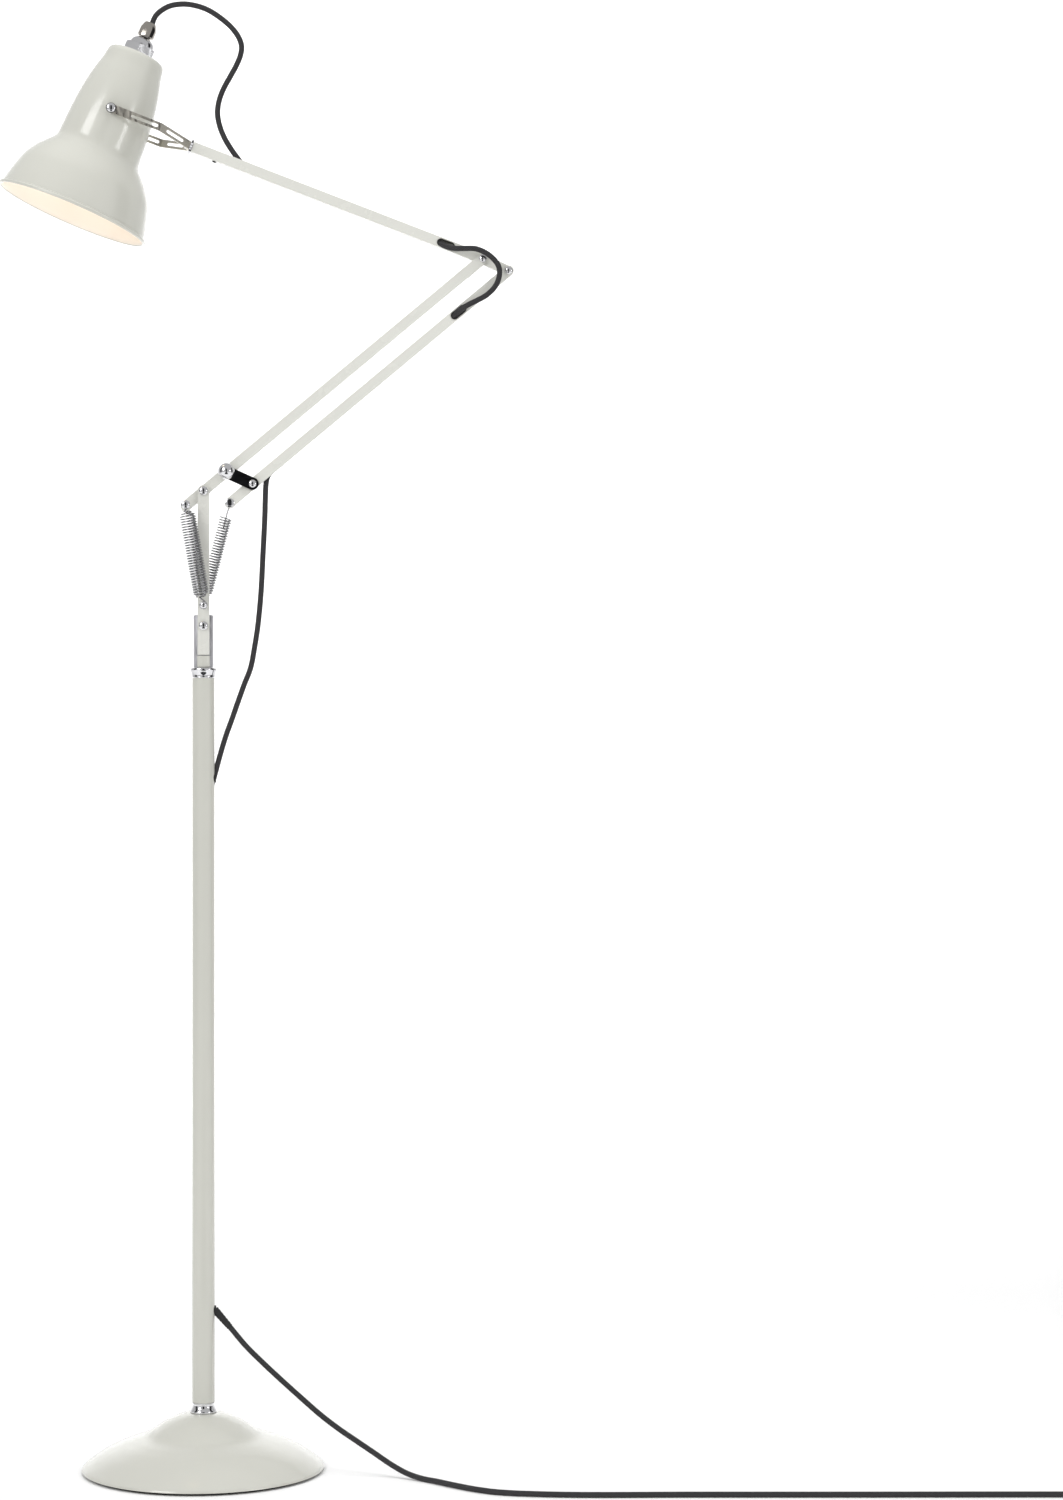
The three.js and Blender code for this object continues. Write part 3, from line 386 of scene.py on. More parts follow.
def sweep(name, path, radius, sides, material, body, replaced, first=0.0):
    """A round tube along a path in mm. UV: once round, and metres along, counted on from `first`."""
    path = np.array(path, float)
    ahead = np.gradient(path, axis=0)
    ahead /= np.linalg.norm(ahead, axis=1)[:, None]
    side = np.array(across(ahead[0])[0])
    mesh = bpy.data.meshes.new(name)
    work = bmesh.new()
    layer = work.loops.layers.uv.new("UVMap")
    rings = []
    lengths = np.concatenate([[0.0], np.cumsum(np.linalg.norm(np.diff(path, axis=0), axis=1))]) * MM + first
    for centre, forward in zip(path, ahead):
        side = side - forward * side.dot(forward)
        side /= np.linalg.norm(side)
        other = np.cross(forward, side)
        ring = []
        for step in range(sides):
            angle = 2 * math.pi * step / sides
            spoke = side * math.cos(angle) + other * math.sin(angle)
            ring.append(work.verts.new((centre + spoke * radius) * MM))
        rings.append(ring)
    for index in range(len(rings) - 1):
        near, far = rings[index], rings[index + 1]
        for step in range(sides):
            after = (step + 1) % sides
            face = work.faces.new((near[step], near[after], far[after], far[step]))
            marks = ((step, index), (step + 1, index), (step + 1, index + 1), (step, index + 1))
            for loop, (turn, row) in zip(face.loops, marks):
                loop[layer].uv = (turn / sides, lengths[row])
    for ring in (rings[0], rings[-1]):
        work.faces.new(ring)
    work.to_mesh(mesh)
    work.free()
    return finished(name, mesh, material, body, replaced, 60.0)


def bevelled(name, node, material, body, width, sharp=35.0):
    """The CAD piece with its flat faces made whole and its edges rounded, so that they catch the light."""
    mesh = NODES[node].data.copy()
    mesh.materials.clear()
    work = bmesh.new()
    work.from_mesh(mesh)
    bmesh.ops.remove_doubles(work, verts=work.verts, dist=2e-6)
    bmesh.ops.dissolve_limit(work, angle_limit=math.radians(0.6), verts=work.verts, edges=work.edges)
    work.to_mesh(mesh)
    work.free()
    piece = finished(name, mesh, material, body, (node,), sharp)
    bevel = piece.modifiers.new("edges", "BEVEL")
    bevel.width = width * MM
    bevel.segments = 3
    bevel.limit_method = "ANGLE"
    bevel.angle_limit = math.radians(50)
    bevel.use_clamp_overlap = True
    bevel.harden_normals = True
    return piece


def keep(material, *nodes):
    """Gives CAD nodes that stay as they are their own look."""
    for node in nodes:
        NODES[node].data.materials.clear()
        NODES[node].data.materials.append(material)


def at_xz(point):
    """A point of the arm's own plane, in three coordinates."""
    return (point[0], 0.0, point[1])


# ---------------------------------------------------------------- camera
IMAGE_LONG_SIDE = 1500
FOCAL_PIXELS = 3349.0
SENSOR_WIDTH = 36.0
CAMERA_PLACE = (0.0, -3.365, 0.72)
CAMERA_PAN = -5.594
camera_data = bpy.data.cameras.new("camera")
camera_data.sensor_width = SENSOR_WIDTH
camera_data.lens = FOCAL_PIXELS * SENSOR_WIDTH / IMAGE_LONG_SIDE
camera_data.clip_end = 60.0
camera = bpy.data.objects.new("camera", camera_data)
camera.location = CAMERA_PLACE
camera.rotation_euler = (math.radians(90.0), 0.0, math.radians(CAMERA_PAN))
bpy.context.scene.collection.objects.link(camera)
bpy.context.scene.camera = camera

# ---------------------------------------------------------------- flex, all one 5.5 mm braided cord
FLEX_STEP = 1.6
FLEX_SIDES = 20


def flex(name, path, body, replaced, first=0.0):
    """A length of the cord along a path."""
    return sweep(name, path, FLEX_RADIUS, FLEX_SIDES, BRAID, body, replaced, first)


def length_of(path):
    """Length of a path in metres."""
    return float(np.linalg.norm(np.diff(path, axis=0), axis=1).sum()) * MM


SLEEVE_RIBS = 6
SLEEVE_BORE = FLEX_RADIUS + 0.05


def sleeve(name, start, end, wide, narrow, body):
    """Ribbed strain relief: tapers along the flex from a housing."""
    run = Vector(end) - Vector(start)
    profile = [(SLEEVE_BORE, 0.0), (wide, 0.0)]
    for rib in range(SLEEVE_RIBS):
        near = (rib + 0.35) / SLEEVE_RIBS
        far = (rib + 0.75) / SLEEVE_RIBS
        radius = wide + (narrow - wide) * near
        profile += [(radius, near * run.length), (radius - 0.5, (near + 0.06) * run.length)]
        profile += [(radius - 0.5, (far - 0.06) * run.length), (radius - 0.1, far * run.length)]
    profile += [(narrow, run.length), (SLEEVE_BORE, run.length), (SLEEVE_BORE, 0.0)]
    return revolve(name, profile, start, run, RUBBER, body, (), 32)


# Mains flex: out of the post, down to the floor, off to the right and into its stored coil
COIL_X, COIL_Y = 897.0, -168.0
COIL_MIDDLE = 30.25
COIL_PITCH = 5.55
COIL_LAYER_TURNS = 3
COIL_TURNS = COIL_LAYER_TURNS * 2
TURN_STEPS = 24
FLOOR_REST = FLEX_RADIUS + 0.1
mains_run = [
    (7.0, 0, 164.5), (11.5, 0, 160), (17, -0.5, 153.5), (26.4, -1, 142.7), (42.3, -3, 123.8),
    (58.3, -5, 107.9), (73.1, -8, 94.2), (94, -12, 75.5), (117.7, -18, 55.3), (135.4, -24, 42.5),
    (152.1, -31, 32), (168.7, -39, 21.8), (185.1, -49, 12), (199.5, -60, 5.6),
    (213, -72, FLOOR_REST), (228, -88, FLOOR_REST),
    (246, -109, FLOOR_REST), (265, -128, FLOOR_REST), (286, -142, FLOOR_REST), (342, -157, FLOOR_REST),
    (476, -170, FLOOR_REST), (620, -184, FLOOR_REST), (760, -197, FLOOR_REST), (840, -204.5, FLOOR_REST),
    (870, -206.3, FLOOR_REST),
]
coil = []
for step in range(COIL_TURNS * TURN_STEPS + 1):
    turns = step / TURN_STEPS
    angle = (turns - 0.25) * 2 * math.pi
    radius = COIL_MIDDLE + (abs(turns - COIL_LAYER_TURNS) - COIL_LAYER_TURNS / 2) * COIL_PITCH
    rise = min(max(turns - COIL_LAYER_TURNS + 0.5, 0.0), 1.0)
    rise = rise * rise * (3 - 2 * rise) * (COIL_PITCH + 0.05)
    coil.append((COIL_X + radius * math.cos(angle), COIL_Y + radius * math.sin(angle), FLOOR_REST + rise))
PLUG_ENTRY = Vector((952.5, -213.0, 11.0))
tail_run = [(913, -207.2, 8.6), (931, -209.8, 10.2), tuple(PLUG_ENTRY), (961, -213.2, 11.0)]
mains_path = curve_through(mains_run + coil + tail_run, FLEX_STEP)
mains = flex("mains_flex", mains_path, "stand", ("mains_cord", "cord_coil", "plug_tail"))
sleeve("mains_relief", (11.3, -0.1, 160.2), (26.2, -1.0, 142.9), 3.9, 3.2, "stand")
plug_relief = sleeve("plug_relief", (958.6, -212.9, 11.0), (936.6, -210.6, 10.6), 4.4, 3.3, "stand")


def joined_flex(name, points, splits, replaced):
    """A flex held at both ends that crosses joints.
    It is cut where it may ride wholly on the body between two joints. splits are shares of the whole length."""
    path = curve_through(points, FLEX_STEP)
    marks = [0] + [int(round(share * (len(path) - 1))) for share in splits] + [len(path) - 1]
    first = 0.0
    for number in range(len(marks) - 1):
        part = path[marks[number]:marks[number + 1] + 1]
        piece = flex(f"{name}_{number + 1}", part, None, replaced if number == 0 else (), first)
        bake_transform(piece)
        first += length_of(part)


joined_flex("head_flex", [
    (-51.6, 0, 1441.5), (-50.6, 0, 1446), (-48, 0, 1452.3), (-43.2, 0, 1457.6), (-33.3, 0, 1463.3),
    (-20.9, 0, 1465.5), (-8.4, 0, 1464.3), (4.5, 0, 1460.1), (16.4, 0, 1452.8), (27.4, 0, 1443.6),
    (34.9, 0, 1433.7), (37.9, 0, 1424.8), (36.9, 0, 1415.7), (32.4, 0, 1404.6), (26.4, 0, 1393.5),
    (19.9, 0, 1381.4), (15.5, 0, 1369.3), (14, 0, 1357.3), (15.9, 0, 1345.3), (20.4, 0, 1333.4),
    (27.4, 0, 1321.5), (35, 0, 1311), (38, 0, 1307),
], (0.5,), ("head_cord",))
joined_flex("elbow_flex", [
    (235.6, -3.5, 1230.2), (241.2, -6.6, 1226.8), (247, -9.8, 1224.5), (252.8, -11.8, 1223.5),
    (261, -12.4, 1223.6), (272.9, -12.5, 1223.2), (285.5, -12.5, 1217.3), (294.6, -12.5, 1207.4),
    (296.1, -12.5, 1198.9), (292.6, -12.5, 1187.3), (283.5, -12.5, 1177.3), (273, -12.3, 1171.3),
    (265, -11.8, 1167.3), (259, -9.8, 1163.8), (253.9, -6.6, 1159.7), (249.8, -3.5, 1155.6),
], (), ("elbow_cord",))
joined_flex("waist_flex", [
    (66.5, 0, 998), (63.6, 0, 993), (62.3, 0, 986), (61.6, 0, 970), (61.2, 0, 954.4), (59.3, 0, 915.3),
    (57.3, 0, 877.3), (54.3, 0, 845.2), (51.3, 0, 825.2), (46.9, 0, 802.1), (40.4, 0, 785.1), (32.9, 0, 764),
    (28.4, 0, 751), (22.6, 0, 735), (17.4, 0, 718), (13.9, 0, 705), (10.4, 0, 692), (7.4, 0, 681),
], (0.3, 0.62), ("waist_cord",))


# ---------------------------------------------------------------- springs
WIRE_RADIUS = 0.7
WIRE_STEP = 0.8
LEFT_COIL_RADIUS = 7.6
RIGHT_COIL_RADIUS = 5.75
# Bare hook wire between the right coil and its upper pin, so that the tie bar has room when the arm is low
RIGHT_COIL_GAP = 15.5
COIL_SPACING = 2.6
COIL_STEPS = 24
TAPER_TURNS = 2.2
NECK_SHARE = 0.3
SPRING_OFFSET = 18.0
HOOK_RADIUS = 3.5
HOOK_TURN = 15


def on_line(start, end, along, side=0.0, out=0.0, y=0.0):
    """A point in a spring's own frame: along its line, off it in the XZ plane, and towards the back."""
    ahead = Vector((end[0] - start[0], 0.0, end[1] - start[1])).normalized()
    left = Vector((-ahead.z, 0.0, ahead.x))
    middle = Vector((start[0], y, start[1])) + ahead * along
    return tuple(middle + left * side + Vector((0.0, out, 0.0)))


def hook_loop(at, towards, degrees):
    """Open loop of wire round a pin, as (along, side, out) triples."""
    reach = towards * HOOK_RADIUS
    turns = [math.radians(angle) for angle in degrees]
    return [(at + reach * math.cos(a), reach * math.sin(a), 0.0) for a in turns]


def spring_path(start, end, y, radius, first, last, upper_hook):
    """A coil with a hook at its lower end, and at its upper end where asked, narrowing towards its hooks.
    first and last are where the coil begins and ends along the line."""
    length = math.dist(start, end)
    turns = int((last - first) / COIL_SPACING)
    steps = turns * COIL_STEPS
    taper = TAPER_TURNS * COIL_STEPS
    local = hook_loop(0.0, 1.0, range(40, 331, HOOK_TURN))
    local.append((first * 0.55, -0.8, 0.0))
    for step in range(steps + 1):
        angle = 2 * math.pi * step / COIL_STEPS
        grow = min(step / taper, (steps - step) / taper if upper_hook else 1.0, 1.0)
        swing = radius * (NECK_SHARE + (1 - NECK_SHARE) * math.sin(grow * math.pi / 2))
        along = first + (last - first) * step / steps
        local.append((along, swing * math.cos(angle), swing * math.sin(angle)))
    if upper_hook:
        local.append((length - (length - last) * 0.6, -0.6, 0.0))
        local += hook_loop(length, -1.0, range(30, 321, HOOK_TURN))
    return [on_line(start, end, along, side, out, y) for along, side, out in local]


def add_spring(name, end, y, radius, first, gap, replaced, upper_hook=True):
    """A spring from the anchor pin to another pin, its coil running from `first` along the line to `gap`
    short of the pin.
    """
    length = math.dist(ANCHOR, end)
    path = curve_through(spring_path(ANCHOR, end, y, radius, first, length - gap, upper_hook), WIRE_STEP)
    piece = sweep(name, path, WIRE_RADIUS, 8, SPRING_STEEL, None, (replaced,))
    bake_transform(piece)


for label, offset in (("near", -SPRING_OFFSET), ("far", SPRING_OFFSET)):
    add_spring(f"left_spring_{label}_coil", TAIL, offset, LEFT_COIL_RADIUS, first=8, gap=6,
               replaced=f"left_spring_{label}")
add_spring("right_spring_coil", TIE_FOOT, 0.0, RIGHT_COIL_RADIUS, first=10, gap=RIGHT_COIL_GAP,
           replaced="right_spring", upper_hook=False)

# The right spring's upper hook: a straight wire out of the coil, then a loop round the pin
shank = [on_line(TIE_FOOT, ANCHOR, along) for along in (26, 20, 14, 9)]
shank.append(on_line(TIE_FOOT, ANCHOR, 5.5, 0.3))
for step in range(20):
    angle = math.radians(45 + HOOK_TURN * step)
    shank.append(on_line(TIE_FOOT, ANCHOR, HOOK_RADIUS * math.cos(angle), HOOK_RADIUS * math.sin(angle)))
sweep("right_hook_wire", curve_through(shank, 0.7), WIRE_RADIUS, 10, SPRING_STEEL, "spring_crank",
      ("right_spring_hook",))


# ---------------------------------------------------------------- pins, screws and other turned metal
ACROSS = (0.0, 1.0, 0.0)
DOME_EDGE_SHARE = 0.35
WASHER_THICKNESS = 0.6
PIN_SHAFT = 2.4


def dome(radius, thickness, at, towards):
    """Half outline of a low domed head, from its edge to the middle, towards -1 or 1."""
    edge = thickness * DOME_EDGE_SHARE
    crown = thickness * (1 - DOME_EDGE_SHARE)
    turns = np.linspace(0.0, math.pi / 2, 9)
    return [(radius * math.cos(a), at + towards * (edge + crown * math.sin(a))) for a in turns]


def cross_pin(name, node, at, reach, radius, body, thick=3.0):
    """Pin along Y with a domed head on the near side and a nut with a washer on the far side."""
    outline = dome(radius, thick, -reach, -1)[::-1]
    outline[0] = (0.0, outline[0][1])
    washer = reach + WASHER_THICKNESS
    outline += [(radius, -reach), (PIN_SHAFT, -reach), (PIN_SHAFT, reach)]
    outline += [(radius + 0.4, reach), (radius + 0.4, washer)]
    outline += [(radius - 0.2, washer)] + dome(radius - 0.2, thick - WASHER_THICKNESS, washer, 1)
    outline[-1] = (0.0, outline[-1][1])
    return revolve(name, outline, at_xz(at), ACROSS, CHROME, body, (node,), 48)


# How far the pins' shafts reach to either side
SPRING_REACH = SPRING_OFFSET + 3
CHEEK_REACH = CHEEK_OUTER + HEAD_GAP
BAR_REACH = BAR_HALF + HEAD_GAP
BRACKET_SCREW = (0.0, 844.0)
LARGE_HEAD = 4.5
MIDDLE_HEAD = 3.9
SMALL_HEAD = 3.6
for name, node, at, reach, radius, body in (
    ("bracket_bolt", "bracket_screw", BRACKET_SCREW, CHEEK_REACH, LARGE_HEAD, "bracket"),
    ("shoulder_bolt", "shoulder_pin", SHOULDER, CHEEK_REACH, LARGE_HEAD, "bracket"),
    ("anchor_bolt", "spring_anchor_pin", ANCHOR, SPRING_REACH, SMALL_HEAD, "bracket"),
    ("tail_bolt", "tail_pin", TAIL, SPRING_REACH, LARGE_HEAD, "lower_arm"),
    ("elbow_bolt", "elbow_pin", ELBOW, BAR_REACH, MIDDLE_HEAD, "lower_arm"),
    ("head_bolt", "tie_head_pin", TIE_HEAD, BAR_REACH, MIDDLE_HEAD, "upper_arm"),
):
    cross_pin(name, node, at, reach, radius, body)
cross_pin("foot_rivet", "tie_foot_pin", TIE_FOOT, BAR_REACH, LARGE_HEAD, "spring_crank", thick=1.1)

LINK_FACE = -8.6
link_dome = dome(4.0, 3.0, LINK_FACE, -1)[::-1]
link_stud = [(0.0, link_dome[0][1])] + link_dome[1:]
link_stud += [(4.0, LINK_FACE), (PIN_SHAFT, LINK_FACE), (PIN_SHAFT, -3.6), (0.0, -3.6)]
revolve("link_stud", link_stud, at_xz(LINK_END), ACROSS, CHROME, "tie", ("link_pin",), 48)

BALL_RADIUS = 8.3
BALL_DEPTH = -16.2
turns = np.linspace(0, 2.55, 40)
ball = [(BALL_RADIUS * math.sin(a), BALL_DEPTH - BALL_RADIUS * math.cos(a)) for a in turns]
ball[0] = (0.0, ball[0][1])
ball += [(4.4, LINK_FACE), (3.0, LINK_FACE), (3.0, -1.6), (0.0, -1.6)]
revolve("ball_handle", ball, at_xz(LINK_PIVOT), ACROSS, CHROME, "lower_arm", ("ball_knob",), 72)

UP = (0.0, 0.0, 1.0)
AXIS = (0.0, 0.0, 0.0)
bottom_ring = [(5.0, 58.3), (13.0, 58.3), (13.2, 58.8), (13.2, 59.6), (12.9, 60.4)]
bottom_ring += profile_through([(12.7, 60.7), (11.2, 63.2), (10.5, 65.6), (10.6, 66.9), (11.1, 67.5)], 0.4)
bottom_ring += [(11.1, 67.9), (9.5, 67.9), (9.5, 94.0), (5.0, 94.0), (5.0, 58.3)]
revolve("bottom_ferrule", bottom_ring, AXIS, UP, CHROME, "stand", ("bottom_collar",))
top_ring = [(5.3, 765.0), (9.5, 765.0), (9.5, 792.3), (11.4, 792.3), (11.6, 792.7)]
top_ring += profile_through([(11.5, 793.4), (11.7, 795.2), (12.4, 797.4), (13.1, 799.2)], 0.4)
top_ring += [(13.3, 799.8), (13.3, 801.0), (12.9, 801.7), (12.3, 802.0), (5.3, 802.0), (5.3, 765.0)]
revolve("top_ferrule", top_ring, AXIS, UP, CHROME, "stand", ("top_collar",))
keep(SPRING_STEEL, "spindle", "base_rod")
swivel = bevelled("swivel_head", "swivel_block", (SATIN, PAINT), "bracket", 0.5)
for face in swivel.data.polygons:
    below_cheeks = face.center.z < CHEEK_FOOT * MM and abs(face.center.x) < CHEEK_HALF_WIDTH * MM
    face.material_index = 1 if below_cheeks else 0

# ---------------------------------------------------------------- base and post
COVER_WALL = 1.6
COVER_BORE = 5.0
COVER_TOP = 58.0
COVER_FOOT = 2.7
cover_top = profile_through([
    (13.0, COVER_TOP), (16.0, 57.9), (20.0, 57.1), (25.0, 55.5), (36.0, 50.5), (48.0, 43.0), (58.0, 36.5),
    (72.0, 31.5), (85.0, 26.5), (100.0, 19.0), (112.0, 11.0), (118.0, 6.4), (120.1, 4.2), (120.5, COVER_FOOT),
], 1.6)
cover_under = []
for r, z in reversed(cover_top):
    cover_under.append((max(r - COVER_WALL, COVER_BORE), max(z - COVER_WALL, COVER_FOOT)))
cover = [(COVER_BORE, COVER_TOP)] + cover_top + cover_under + [(COVER_BORE, 56.2), (COVER_BORE, COVER_TOP)]
revolve("base_shell", cover, AXIS, UP, PAINT, "stand", ("base_cover",), 144)
keep(IRON, "base_weight")
pad = [(0.0, 0.0), (114.6, 0.0), (115.6, 0.4), (116.0, 1.2), (115.8, 2.1), (115.2, 2.4), (0.0, 2.4)]
revolve("base_felt", pad, AXIS, UP, RUBBER, "stand", ("base_pad",), 144)


HOLE_DEPTH = 12.0
HOLE_RADIUS = 4.9
HOLE_MIDDLE = 14.0


def drilled(piece, heights):
    """Cuts a round hole through the +X wall of a piece at each height."""
    for height in heights:
        cutter = bpy.data.meshes.new("cutter")
        work = bmesh.new()
        size = HOLE_RADIUS * MM
        depth = HOLE_DEPTH * MM
        bmesh.ops.create_cone(work, cap_ends=True, segments=40, radius1=size, radius2=size, depth=depth)
        turn = Vector((0, 0, 1)).rotation_difference(Vector((1, 0, 0))).to_matrix()
        bmesh.ops.rotate(work, verts=work.verts, matrix=turn)
        bmesh.ops.translate(work, verts=work.verts, vec=Vector((HOLE_MIDDLE, 0, height)) * MM)
        work.to_mesh(cutter)
        work.free()
        tool = bpy.data.objects.new("cutter", cutter)
        bpy.context.scene.collection.objects.link(tool)
        cut = piece.modifiers.new("hole", "BOOLEAN")
        cut.object = tool
        cut.operation = "DIFFERENCE"
        cut.solver = "EXACT"
        graph = bpy.context.evaluated_depsgraph_get()
        made = bpy.data.meshes.new_from_object(piece.evaluated_get(graph))
        piece.modifiers.clear()
        piece.data = made
        bpy.data.objects.remove(tool)


post_wall = [(9.9, 68.2), (11.0, 68.2), (11.2, 68.5), (11.2, 791.7), (11.0, 792.0), (9.9, 792.0)]
post_wall.append(post_wall[0])
post = revolve("post", post_wall, AXIS, UP, PAINT, "stand", ("pole",), 96)
drilled(post, (MAINS_HOLE, WAIST_HOLE))
grommet = [(3.05, 0.0), (4.3, 0.0), (4.6, 0.4), (4.6, 2.0), (4.3, 2.6), (3.8, 2.8), (3.3, 2.6), (3.05, 2.1)]
grommet.append(grommet[0])
OUTWARDS = (1.0, 0.0, 0.0)
for label, height in (("mains", MAINS_HOLE), ("waist", WAIST_HOLE)):
    mouth = (9.9, 0.0, height)
    revolve(f"{label}_bush", grommet, mouth, OUTWARDS, RUBBER, "stand", (f"{label}_grommet",), 40)
keep(BRAID, "pole_cable", "tie_cable", "upper_cable")

# ---------------------------------------------------------------- arms and bracket
# Cheeks and bars take the lighter copy of the linen enamel, which is painted light
for label in ("near", "far"):
    bevelled(f"{label}_cheek", f"cheek_{label}", LIGHTER_ARM_PAINT, "bracket", 0.35)
bevelled("lower_tube", "lower_bar", LIGHTER_ARM_PAINT, "lower_arm", 0.75)
bevelled("tie_tube", "tie_bar", LIGHTER_ARM_PAINT, "tie", 0.6)
bevelled("upper_tube", "upper_bar", LIGHTER_ARM_PAINT, "upper_arm", 0.75)
bevelled("link_strap", "link_plate", DARK_METAL, "link", 0.3)
bevelled("tie_oval", "tie_grommet", RUBBER, "tie_outlet", 0.3)
bevelled("upper_oval", "upper_grommet", RUBBER, "upper_arm", 0.3)
bevelled("toothed_washer", "serrated_washer", CHROME, "upper_arm", 0.25, 20.0)
keep(NICKEL, "end_plug")
keep(DARK_METAL, "plug_screw")

# ---------------------------------------------------------------- yoke
bevelled("fork", "yoke", NICKEL, "yoke", 0.35)
fork_bolt = [(0.0, -18.0), (2.1, -18.0), (2.1, 2.7), (3.6, 2.7), (3.8, 3.0), (3.8, 4.2), (3.2, 4.9)]
fork_bolt += [(1.8, 5.3), (0.0, 5.4)]
revolve("fork_bolt", fork_bolt, at_xz(YOKE_FOOT), ARM_OUT, CHROME, "yoke", ("yoke_screw",), 48)

# ---------------------------------------------------------------- shade, holder and bulb
DOWN = -SHADE_UP
SHADE_WALL = 1.2
outer = profile_through([
    (8.4, 0.0), (15.0, 0.0), (21.0, 0.15), (24.6, 0.6), (27.2, 1.9), (28.7, 4.0), (29.6, 7.0), (31.0, 15.0),
    (34.8, 29.0), (38.0, 45.0), (40.0, 60.0), (41.6, 78.0), (42.4, 94.0), (42.8, 100.5), (43.8, 105.0),
    (46.6, 109.3), (51.5, 114.6), (59.5, 124.5), (65.8, 135.0), (70.2, 148.0), (73.4, 160.0), (75.4, 169.0),
], 1.5)
bead = [(76.4 + 1.7 * math.cos(a), 171.5 + 1.7 * math.sin(a)) for a in np.linspace(-1.35, 2.6, 16)]
inner = []
for index in range(len(outer)):
    before = outer[max(index - 1, 0)]
    after = outer[min(index + 1, len(outer) - 1)]
    run = math.dist(before, after)
    inner.append((outer[index][0] - SHADE_WALL * (after[1] - before[1]) / run,
                  outer[index][1] + SHADE_WALL * (after[0] - before[0]) / run))
shade_outline = outer + bead + inner[::-1]
shade_outline.append(shade_outline[0])
OUTSIDE_BANDS = len(outer) + len(bead) - 1


def shade_look(band):
    """Paint outside and round the bead, the warm lining inside."""
    return 0 if band < OUTSIDE_BANDS else 1


revolve("shade_shell", shade_outline, SHADE_TOP, DOWN, (PAINT, LINING), "head", ("shade",),
        144, 40.0, shade_look)

holder = [(0.0, -8.0), (7.7, -8.0), (8.1, -7.6), (8.1, 1.5), (14.0, 2.0), (16.0, 3.2), (16.5, 5.0)]
HOLDER_RIBS = 5
for ring in range(HOLDER_RIBS):
    at = 9.0 + ring * 5.4
    holder += [(16.5, at), (16.1, at + 0.3), (16.1, at + 1.3), (16.5, at + 1.6)]
holder += [(16.5, 37.6), (16.1, 39.4), (15.2, 40.0), (13.6, 40.0), (13.6, 14.0), (0.0, 14.0)]
revolve("lamp_holder", holder, SHADE_TOP, DOWN, HOLDER, "head", ("lampholder",), 72, 35.0)
cap = [(0.0, 14.5), (4.0, 14.5), (4.6, 16.5), (11.0, 17.8), (12.3, 19.4)]
CAP_THREADS = 6
for thread in range(CAP_THREADS):
    at = 20.0 + thread * 3.4
    cap += [(12.2, at), (12.8, at + 0.9), (12.8, at + 1.5), (12.2, at + 2.4)]
cap += [(12.8, 41.0), (12.8, 42.0), (0.0, 42.0)]
revolve("bulb_screw_cap", cap, SHADE_TOP, DOWN, BRASS, "head", ("bulb_cap",), 64, 50.0)
globe = profile_through([
    (12.4, 42.4), (13.0, 48.0), (14.4, 55.0), (17.6, 64.0), (23.0, 75.5), (27.2, 86.5), (29.4, 97.0),
    (29.1, 106.0), (25.6, 116.0), (18.6, 123.6), (9.6, 127.4), (0.0, 128.2),
], 1.4)
globe.insert(0, (0.0, 42.4))
revolve("bulb_globe", globe, SHADE_TOP, DOWN, BULB, "head", ("bulb_glass",), 72, 60.0)

bevelled("top_nut", "hex_nut", CHROME, "head", 0.4, 25.0)
dome_line = [(3.05, -9.3), (12.3, -9.3), (12.5, -9.7), (12.4, -10.6)]
dome_line += profile_through([(12.3, -11.0), (11.4, -13.6), (9.2, -16.0), (6.4, -17.5), (3.6, -18.0)], 0.5)
dome_line += [(3.05, -18.0), (3.05, -9.3)]
revolve("dome_nut", dome_line, SHADE_TOP, DOWN, CHROME, "head", ("dome_cap",), 72)
bevelled("flex_grip", "cord_grip", GRIP_METAL, "head", 0.25, 20.0)

# The two screws that the shade tips on: a foot in the shade, a spacer, a washer and a domed head
PIVOT = at_xz(SHADE_PIVOT)
HEAD_RADIUS = 4.5
HEAD_FOOT = 48.0
HEAD_RISE = 1.6
pivot_line = [(0.0, 34.5), (4.0, 34.5), (4.0, 37.6), (2.4, 37.6), (2.4, 41.4), (4.0, 41.4), (4.0, 43.3)]
pivot_line += [(2.4, 43.3), (2.4, 46.3), (5.0, 46.3), (5.0, 46.8), (HEAD_RADIUS, 46.8)]
pivot_line.append((HEAD_RADIUS, HEAD_FOOT))
for a in np.linspace(0.2, math.pi / 2, 7):
    pivot_line.append((HEAD_RADIUS * math.cos(a), HEAD_FOOT + HEAD_RISE * math.sin(a)))
pivot_line[-1] = (0.0, HEAD_FOOT + HEAD_RISE)
for label, towards in (("near", -1.0), ("far", 1.0)):
    outwards = (0.0, towards, 0.0)
    screw = (f"pivot_screw_{label}",)
    revolve(f"pivot_bolt_{label}", pivot_line, PIVOT, outwards, CHROME, "head", screw, 48)

# ---------------------------------------------------------------- plug
bevelled("plug_case", "plug_body", PLASTIC, "stand", 0.9, 25.0)
for label in ("earth", "live", "neutral"):
    bevelled(f"plug_blade_{label}", f"plug_pin_{label}", BRASS, "stand", 0.4)


# ---------------------------------------------------------------- floor, backdrop and lights
FLOOR_HALF = 7.0
WALL_START = 3.0
WALL_BEND = 1.5
WALL_HEIGHT = 6.0


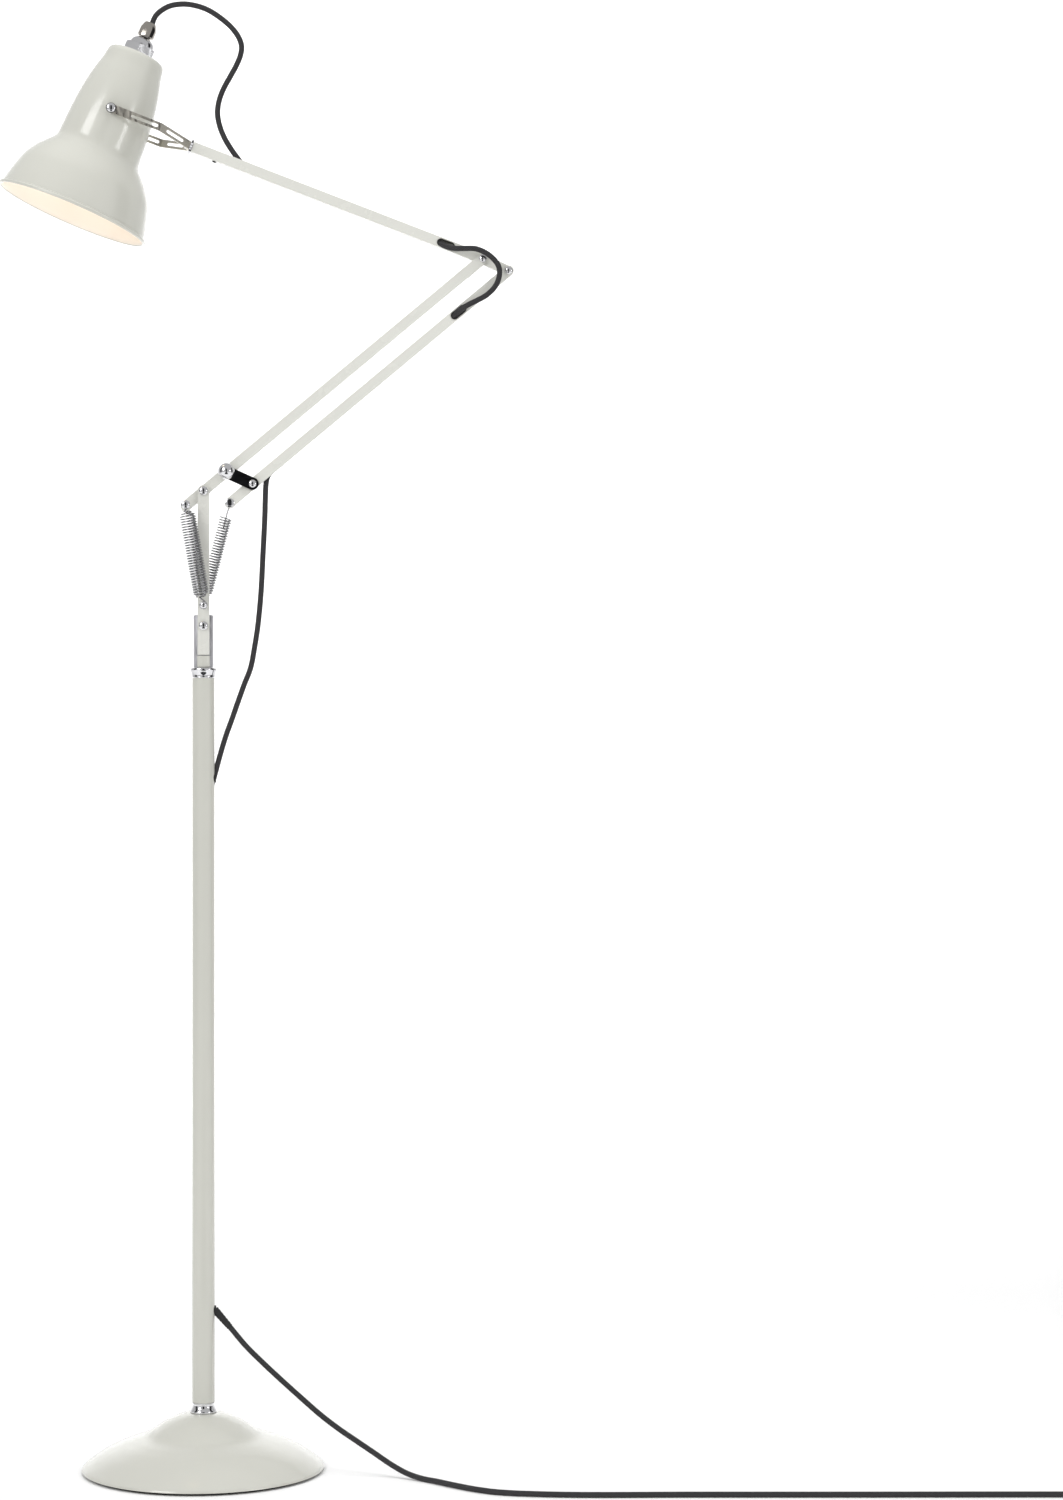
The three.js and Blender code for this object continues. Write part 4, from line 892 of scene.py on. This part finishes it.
def backdrop():
    """A pale floor that curves up into a wall, as one sheet, in metres."""
    made = Surface("studio_floor", (0.96, 0.96, 0.96), 0.7)
    made.tint(made.noise(1.5, 2.0), 0.995, 1.005)
    line = [(-FLOOR_HALF, 0.0), (WALL_START, 0.0)]
    for a in np.linspace(0.1, math.pi / 2, 16):
        line.append((WALL_START + WALL_BEND * math.sin(a), WALL_BEND - WALL_BEND * math.cos(a)))
    line.append((WALL_START + WALL_BEND, WALL_HEIGHT))
    mesh = bpy.data.meshes.new("studio_floor")
    work = bmesh.new()
    rows = [(work.verts.new((-FLOOR_HALF, y, z)), work.verts.new((FLOOR_HALF, y, z))) for y, z in line]
    for low, high in zip(rows, rows[1:]):
        work.faces.new((low[0], low[1], high[1], high[0]))
    for face in work.faces:
        face.smooth = True
    work.to_mesh(mesh)
    work.free()
    mesh.materials.append(made.material)
    sheet = bpy.data.objects.new("studio_floor", mesh)
    bpy.context.scene.collection.objects.link(sheet)


backdrop()


def softbox(name, place, aim, width, height, power, mirrored=True):
    """A soft light; one that isn't mirrored leaves no highlight of its own on gloss and chrome."""
    data = bpy.data.lights.new(name, "AREA")
    data.shape = "RECTANGLE"
    data.size = width
    data.size_y = height
    data.energy = power
    light = bpy.data.objects.new(name, data)
    light.location = place
    light.rotation_euler = (Vector(aim) - Vector(place)).to_track_quat("-Z", "Y").to_euler()
    light.visible_glossy = mirrored
    bpy.context.scene.collection.objects.link(light)


def flag(name, place, width, height, turn, tilt=0.0):
    """A black board out of view that only reflections see: it puts the dark streaks into chrome."""
    made = Surface(name, (0.02, 0.02, 0.022), 0.9)
    mesh = bpy.data.meshes.new(name)
    half = width / 2
    corners = [(-half, 0, 0), (half, 0, 0), (half, 0, height), (-half, 0, height)]
    mesh.from_pydata(corners, [], [(0, 1, 2, 3)])
    mesh.materials.append(made.material)
    board = bpy.data.objects.new(name, mesh)
    board.location = place
    board.rotation_euler = (math.radians(tilt), 0.0, math.radians(turn))
    for kind in ("camera", "diffuse", "shadow", "transmission"):
        setattr(board, f"visible_{kind}", False)
    bpy.context.scene.collection.objects.link(board)


softbox("key", (-2.4, -2.6, 2.6), (0.1, 0.0, 1.0), 1.5, 2.0, 52.0)
softbox("fill", (2.9, -2.2, 1.9), (0.1, 0.0, 0.9), 1.4, 2.4, 18.0, mirrored=False)
softbox("spark", (2.9, -2.2, 1.3), (0.1, 0.0, 0.9), 0.8, 0.6, 8.0)
softbox("top", (0.3, 0.2, 3.6), (0.2, 0.0, 0.0), 3.0, 3.0, 56.0, mirrored=False)
softbox("back", (0.2, 2.6, 2.4), (0.2, 4.4, 1.2), 4.0, 2.0, 60.0, mirrored=False)
flag("front_flag", (0.0, -4.4, 0.1), 1.5, 3.6, 0)
flag("left_flag", (-3.6, -0.6, 0.1), 1.6, 3.6, 90)
flag("right_flag", (3.8, -0.4, 0.1), 1.6, 3.6, 90)
flag("floor_flag", (0.0, -0.9, 0.02), 1.1, 3.2, 0, 90)

# A little warm light under the bulb, just below its tip
GLOW_DEPTH = 136.0
glow_data = bpy.data.lights.new("bulb_light", "POINT")
glow_data.energy = 0.05
glow_data.color = (1.0, 0.80, 0.58)
glow_data.shadow_soft_size = 0.028
glow = bpy.data.objects.new("bulb_light", glow_data)
glow.location = (SHADE_TOP + DOWN * GLOW_DEPTH) * MM
bpy.context.scene.collection.objects.link(glow)

world = bpy.data.worlds.new("studio")
world.use_nodes = True
world.node_tree.nodes["Background"].inputs["Color"].default_value = (1.0, 1.0, 1.0, 1.0)
world.node_tree.nodes["Background"].inputs["Strength"].default_value = 0.5
bpy.context.scene.world = world
bpy.context.scene.view_settings.view_transform = "Standard"
